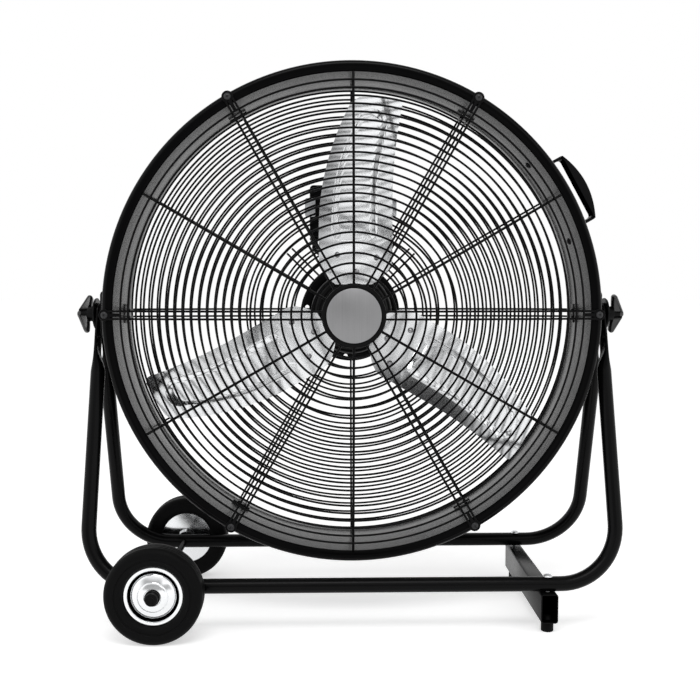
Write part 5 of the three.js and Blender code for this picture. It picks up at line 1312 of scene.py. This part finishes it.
rivet_set = []
for x, r in RIVET_PLACES:
    rivet = lathe_piece("blade_rivets", [
        (0, -0.0026), (0.0016, -0.0025), (0.0029, -0.0019), (0.0037, -0.0010), (0.0040, -0.0001),
        (0.0040, 0.0002), (0, 0.0002)], 24)
    slope = (blade_point(r, x + 0.001, 0) - blade_point(r, x - 0.001, 0)).y / 0.002
    rivet_set.append(placed(rivet, about("Z", degrees(atan(slope))),
                            shift(blade_point(r, x, -BLADE_HALF_THICKNESS)), about("Y", 90)))
rivets = round_the_drum(joined(*rivet_set), rivet_metal, 3, pi / 2)
fit_out(rivets, rivet_metal, "zinc_plate", "rotor")

fit_out(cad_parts["blade_spider"], motor_black, "motor_black", "rotor")
fit_out(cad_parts["motor_shaft"], zinc_plate, "zinc_plate", "rotor")
fit_out(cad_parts["shaft_nut"], zinc_plate, "zinc_plate", "rotor")

# ---------------------------------------------------------------- front guard
# The same black wire as the rear guard, dished forward: close rings outside, wider ones near the
# middle, six pairs of wires that end in round screwed tabs and six single wires between them.

FRONT_FIRST_RING_R = 0.0535
FRONT_LAST_RING_R = 0.3005
FRONT_SPOKE_R = 0.037
FRONT_RINGS = 23
FRONT_WIDE_RINGS = 7
FRONT_WIDE_PITCH = 0.013
FRONT_CLOSE_PITCH = 0.0104
FRONT_FACE_Y = -0.0639
FRONT_BULGE = 0.028
FRONT_BEND_R = 0.003
LUG_CENTRE_R = 0.3218
LUG_NECK_R = 0.3140
LUG_R = 0.0076
LUG_HOLE_R = 0.0027
LUG_FACE_Y = -0.0613
HUB_BACK_Y = -0.09125
HUB_FRONT_Y = -0.09925
HUB_R = 0.041
BADGE_R = 0.0347


def front_spoke_y(r):
    return FRONT_FACE_Y - FRONT_BULGE * (1 - (r / FRONT_LAST_RING_R) ** 2) + SPOKE_DEPTH


front_single = [about("Y", -30) @ point for point in dished_line(
    FRONT_SPOKE_R, DRUM_R - 0.0004, 0, front_spoke_y)]
front_pair = [[*dished_line(FRONT_SPOKE_R, FRONT_LAST_RING_R - 0.003, z, front_spoke_y),
               *[Vector((x, LUG_FACE_Y - WIRE_R + 0.0002, z))
                 for x in (FRONT_LAST_RING_R + 0.0035, LUG_CENTRE_R - 0.0055)]]
              for z in (-PAIR_HALF, PAIR_HALF)]
front_singles = guard_wires("front_singles", [front_single], FRONT_BEND_R, wire=SINGLE_R)
front_guard = guard_wires("front_guard_wires", front_pair, FRONT_BEND_R)
front_rings = guard_rings("front_rings", FRONT_RINGS, FRONT_WIDE_RINGS, FRONT_FIRST_RING_R,
                          FRONT_WIDE_PITCH, FRONT_CLOSE_PITCH, FRONT_LAST_RING_R, FRONT_FACE_Y,
                          -FRONT_BULGE)
lug_outline = [(FRONT_LAST_RING_R, -0.0021), (LUG_NECK_R, -0.0024),
               *arc_points(LUG_CENTRE_R, 0, LUG_R, -161, 161, 30),
               (LUG_NECK_R, 0.0024), (FRONT_LAST_RING_R, 0.0021)]
front_lugs = plate_piece("front_lugs", lug_outline, LUG_FACE_Y, LUG_FACE_Y + 0.002, 0.0005,
                         holes=[circle_outline(LUG_HOLE_R, 24, LUG_CENTRE_R)], edge_steps=2)
hub_plate = lathe_piece("hub_plate", [(0, 0), (0.037, 0), (0.037, 0.0032), (0, 0.0032)],
                        base=HUB_BACK_Y + 0.0003)
joined(front_guard, front_singles, front_rings, round_the_drum(front_lugs, wire_black, 6),
       placed(hub_plate, TO_AXIS))
fit_out(front_guard, wire_black, "wire_black", "drum", "front_guard")

guard_screws = cross_recess_screw("guard_screws", *PAN_HEAD, 0.0083)
placed(guard_screws, shift((LUG_CENTRE_R, LUG_FACE_Y - 0.0003, 0)))
round_the_drum(guard_screws, screw_grey, 6)
fit_out(guard_screws, screw_grey, "screw_black", "drum", *[f"guard_screw_{i}" for i in range(1, 7)])

# ---------------------------------------------------------------- hub cap and badge
# A moulded black cap over the middle of the front guard, with a round seat for a plain disc of
# brushed grey metal. The disc carries no name.

hub_cap = lathe_piece("hub_cap", [
    (0, HUB_BACK_Y), (HUB_R - 0.0005, HUB_BACK_Y), (HUB_R, HUB_BACK_Y - 0.0005),
    *[(HUB_R - 0.0032 + u, HUB_FRONT_Y + 0.0032 + v) for u, v in arc_points(0, 0, 0.0032, 0, -80, 7)],
    (0.0366, HUB_FRONT_Y), (0.0359, HUB_FRONT_Y + 0.0001), (0.0354, HUB_FRONT_Y + 0.0007),
    (0.0351, HUB_FRONT_Y + 0.0012), (0, HUB_FRONT_Y + 0.0012)], 128)
fit_out(placed(hub_cap, TO_AXIS), plastic_black, "plastic_black", "drum", "guard_hub_cap")
badge = lathe_piece("badge_disc", [
    (0, -0.0003), (BADGE_R - 0.0006, -0.0003), (BADGE_R, 0.0001), (BADGE_R, 0.0009), (0, 0.0009)],
    128, base=HUB_FRONT_Y)
fit_out(placed(badge, TO_AXIS), badge_grey, "badge_grey", "drum", "hub_badge")
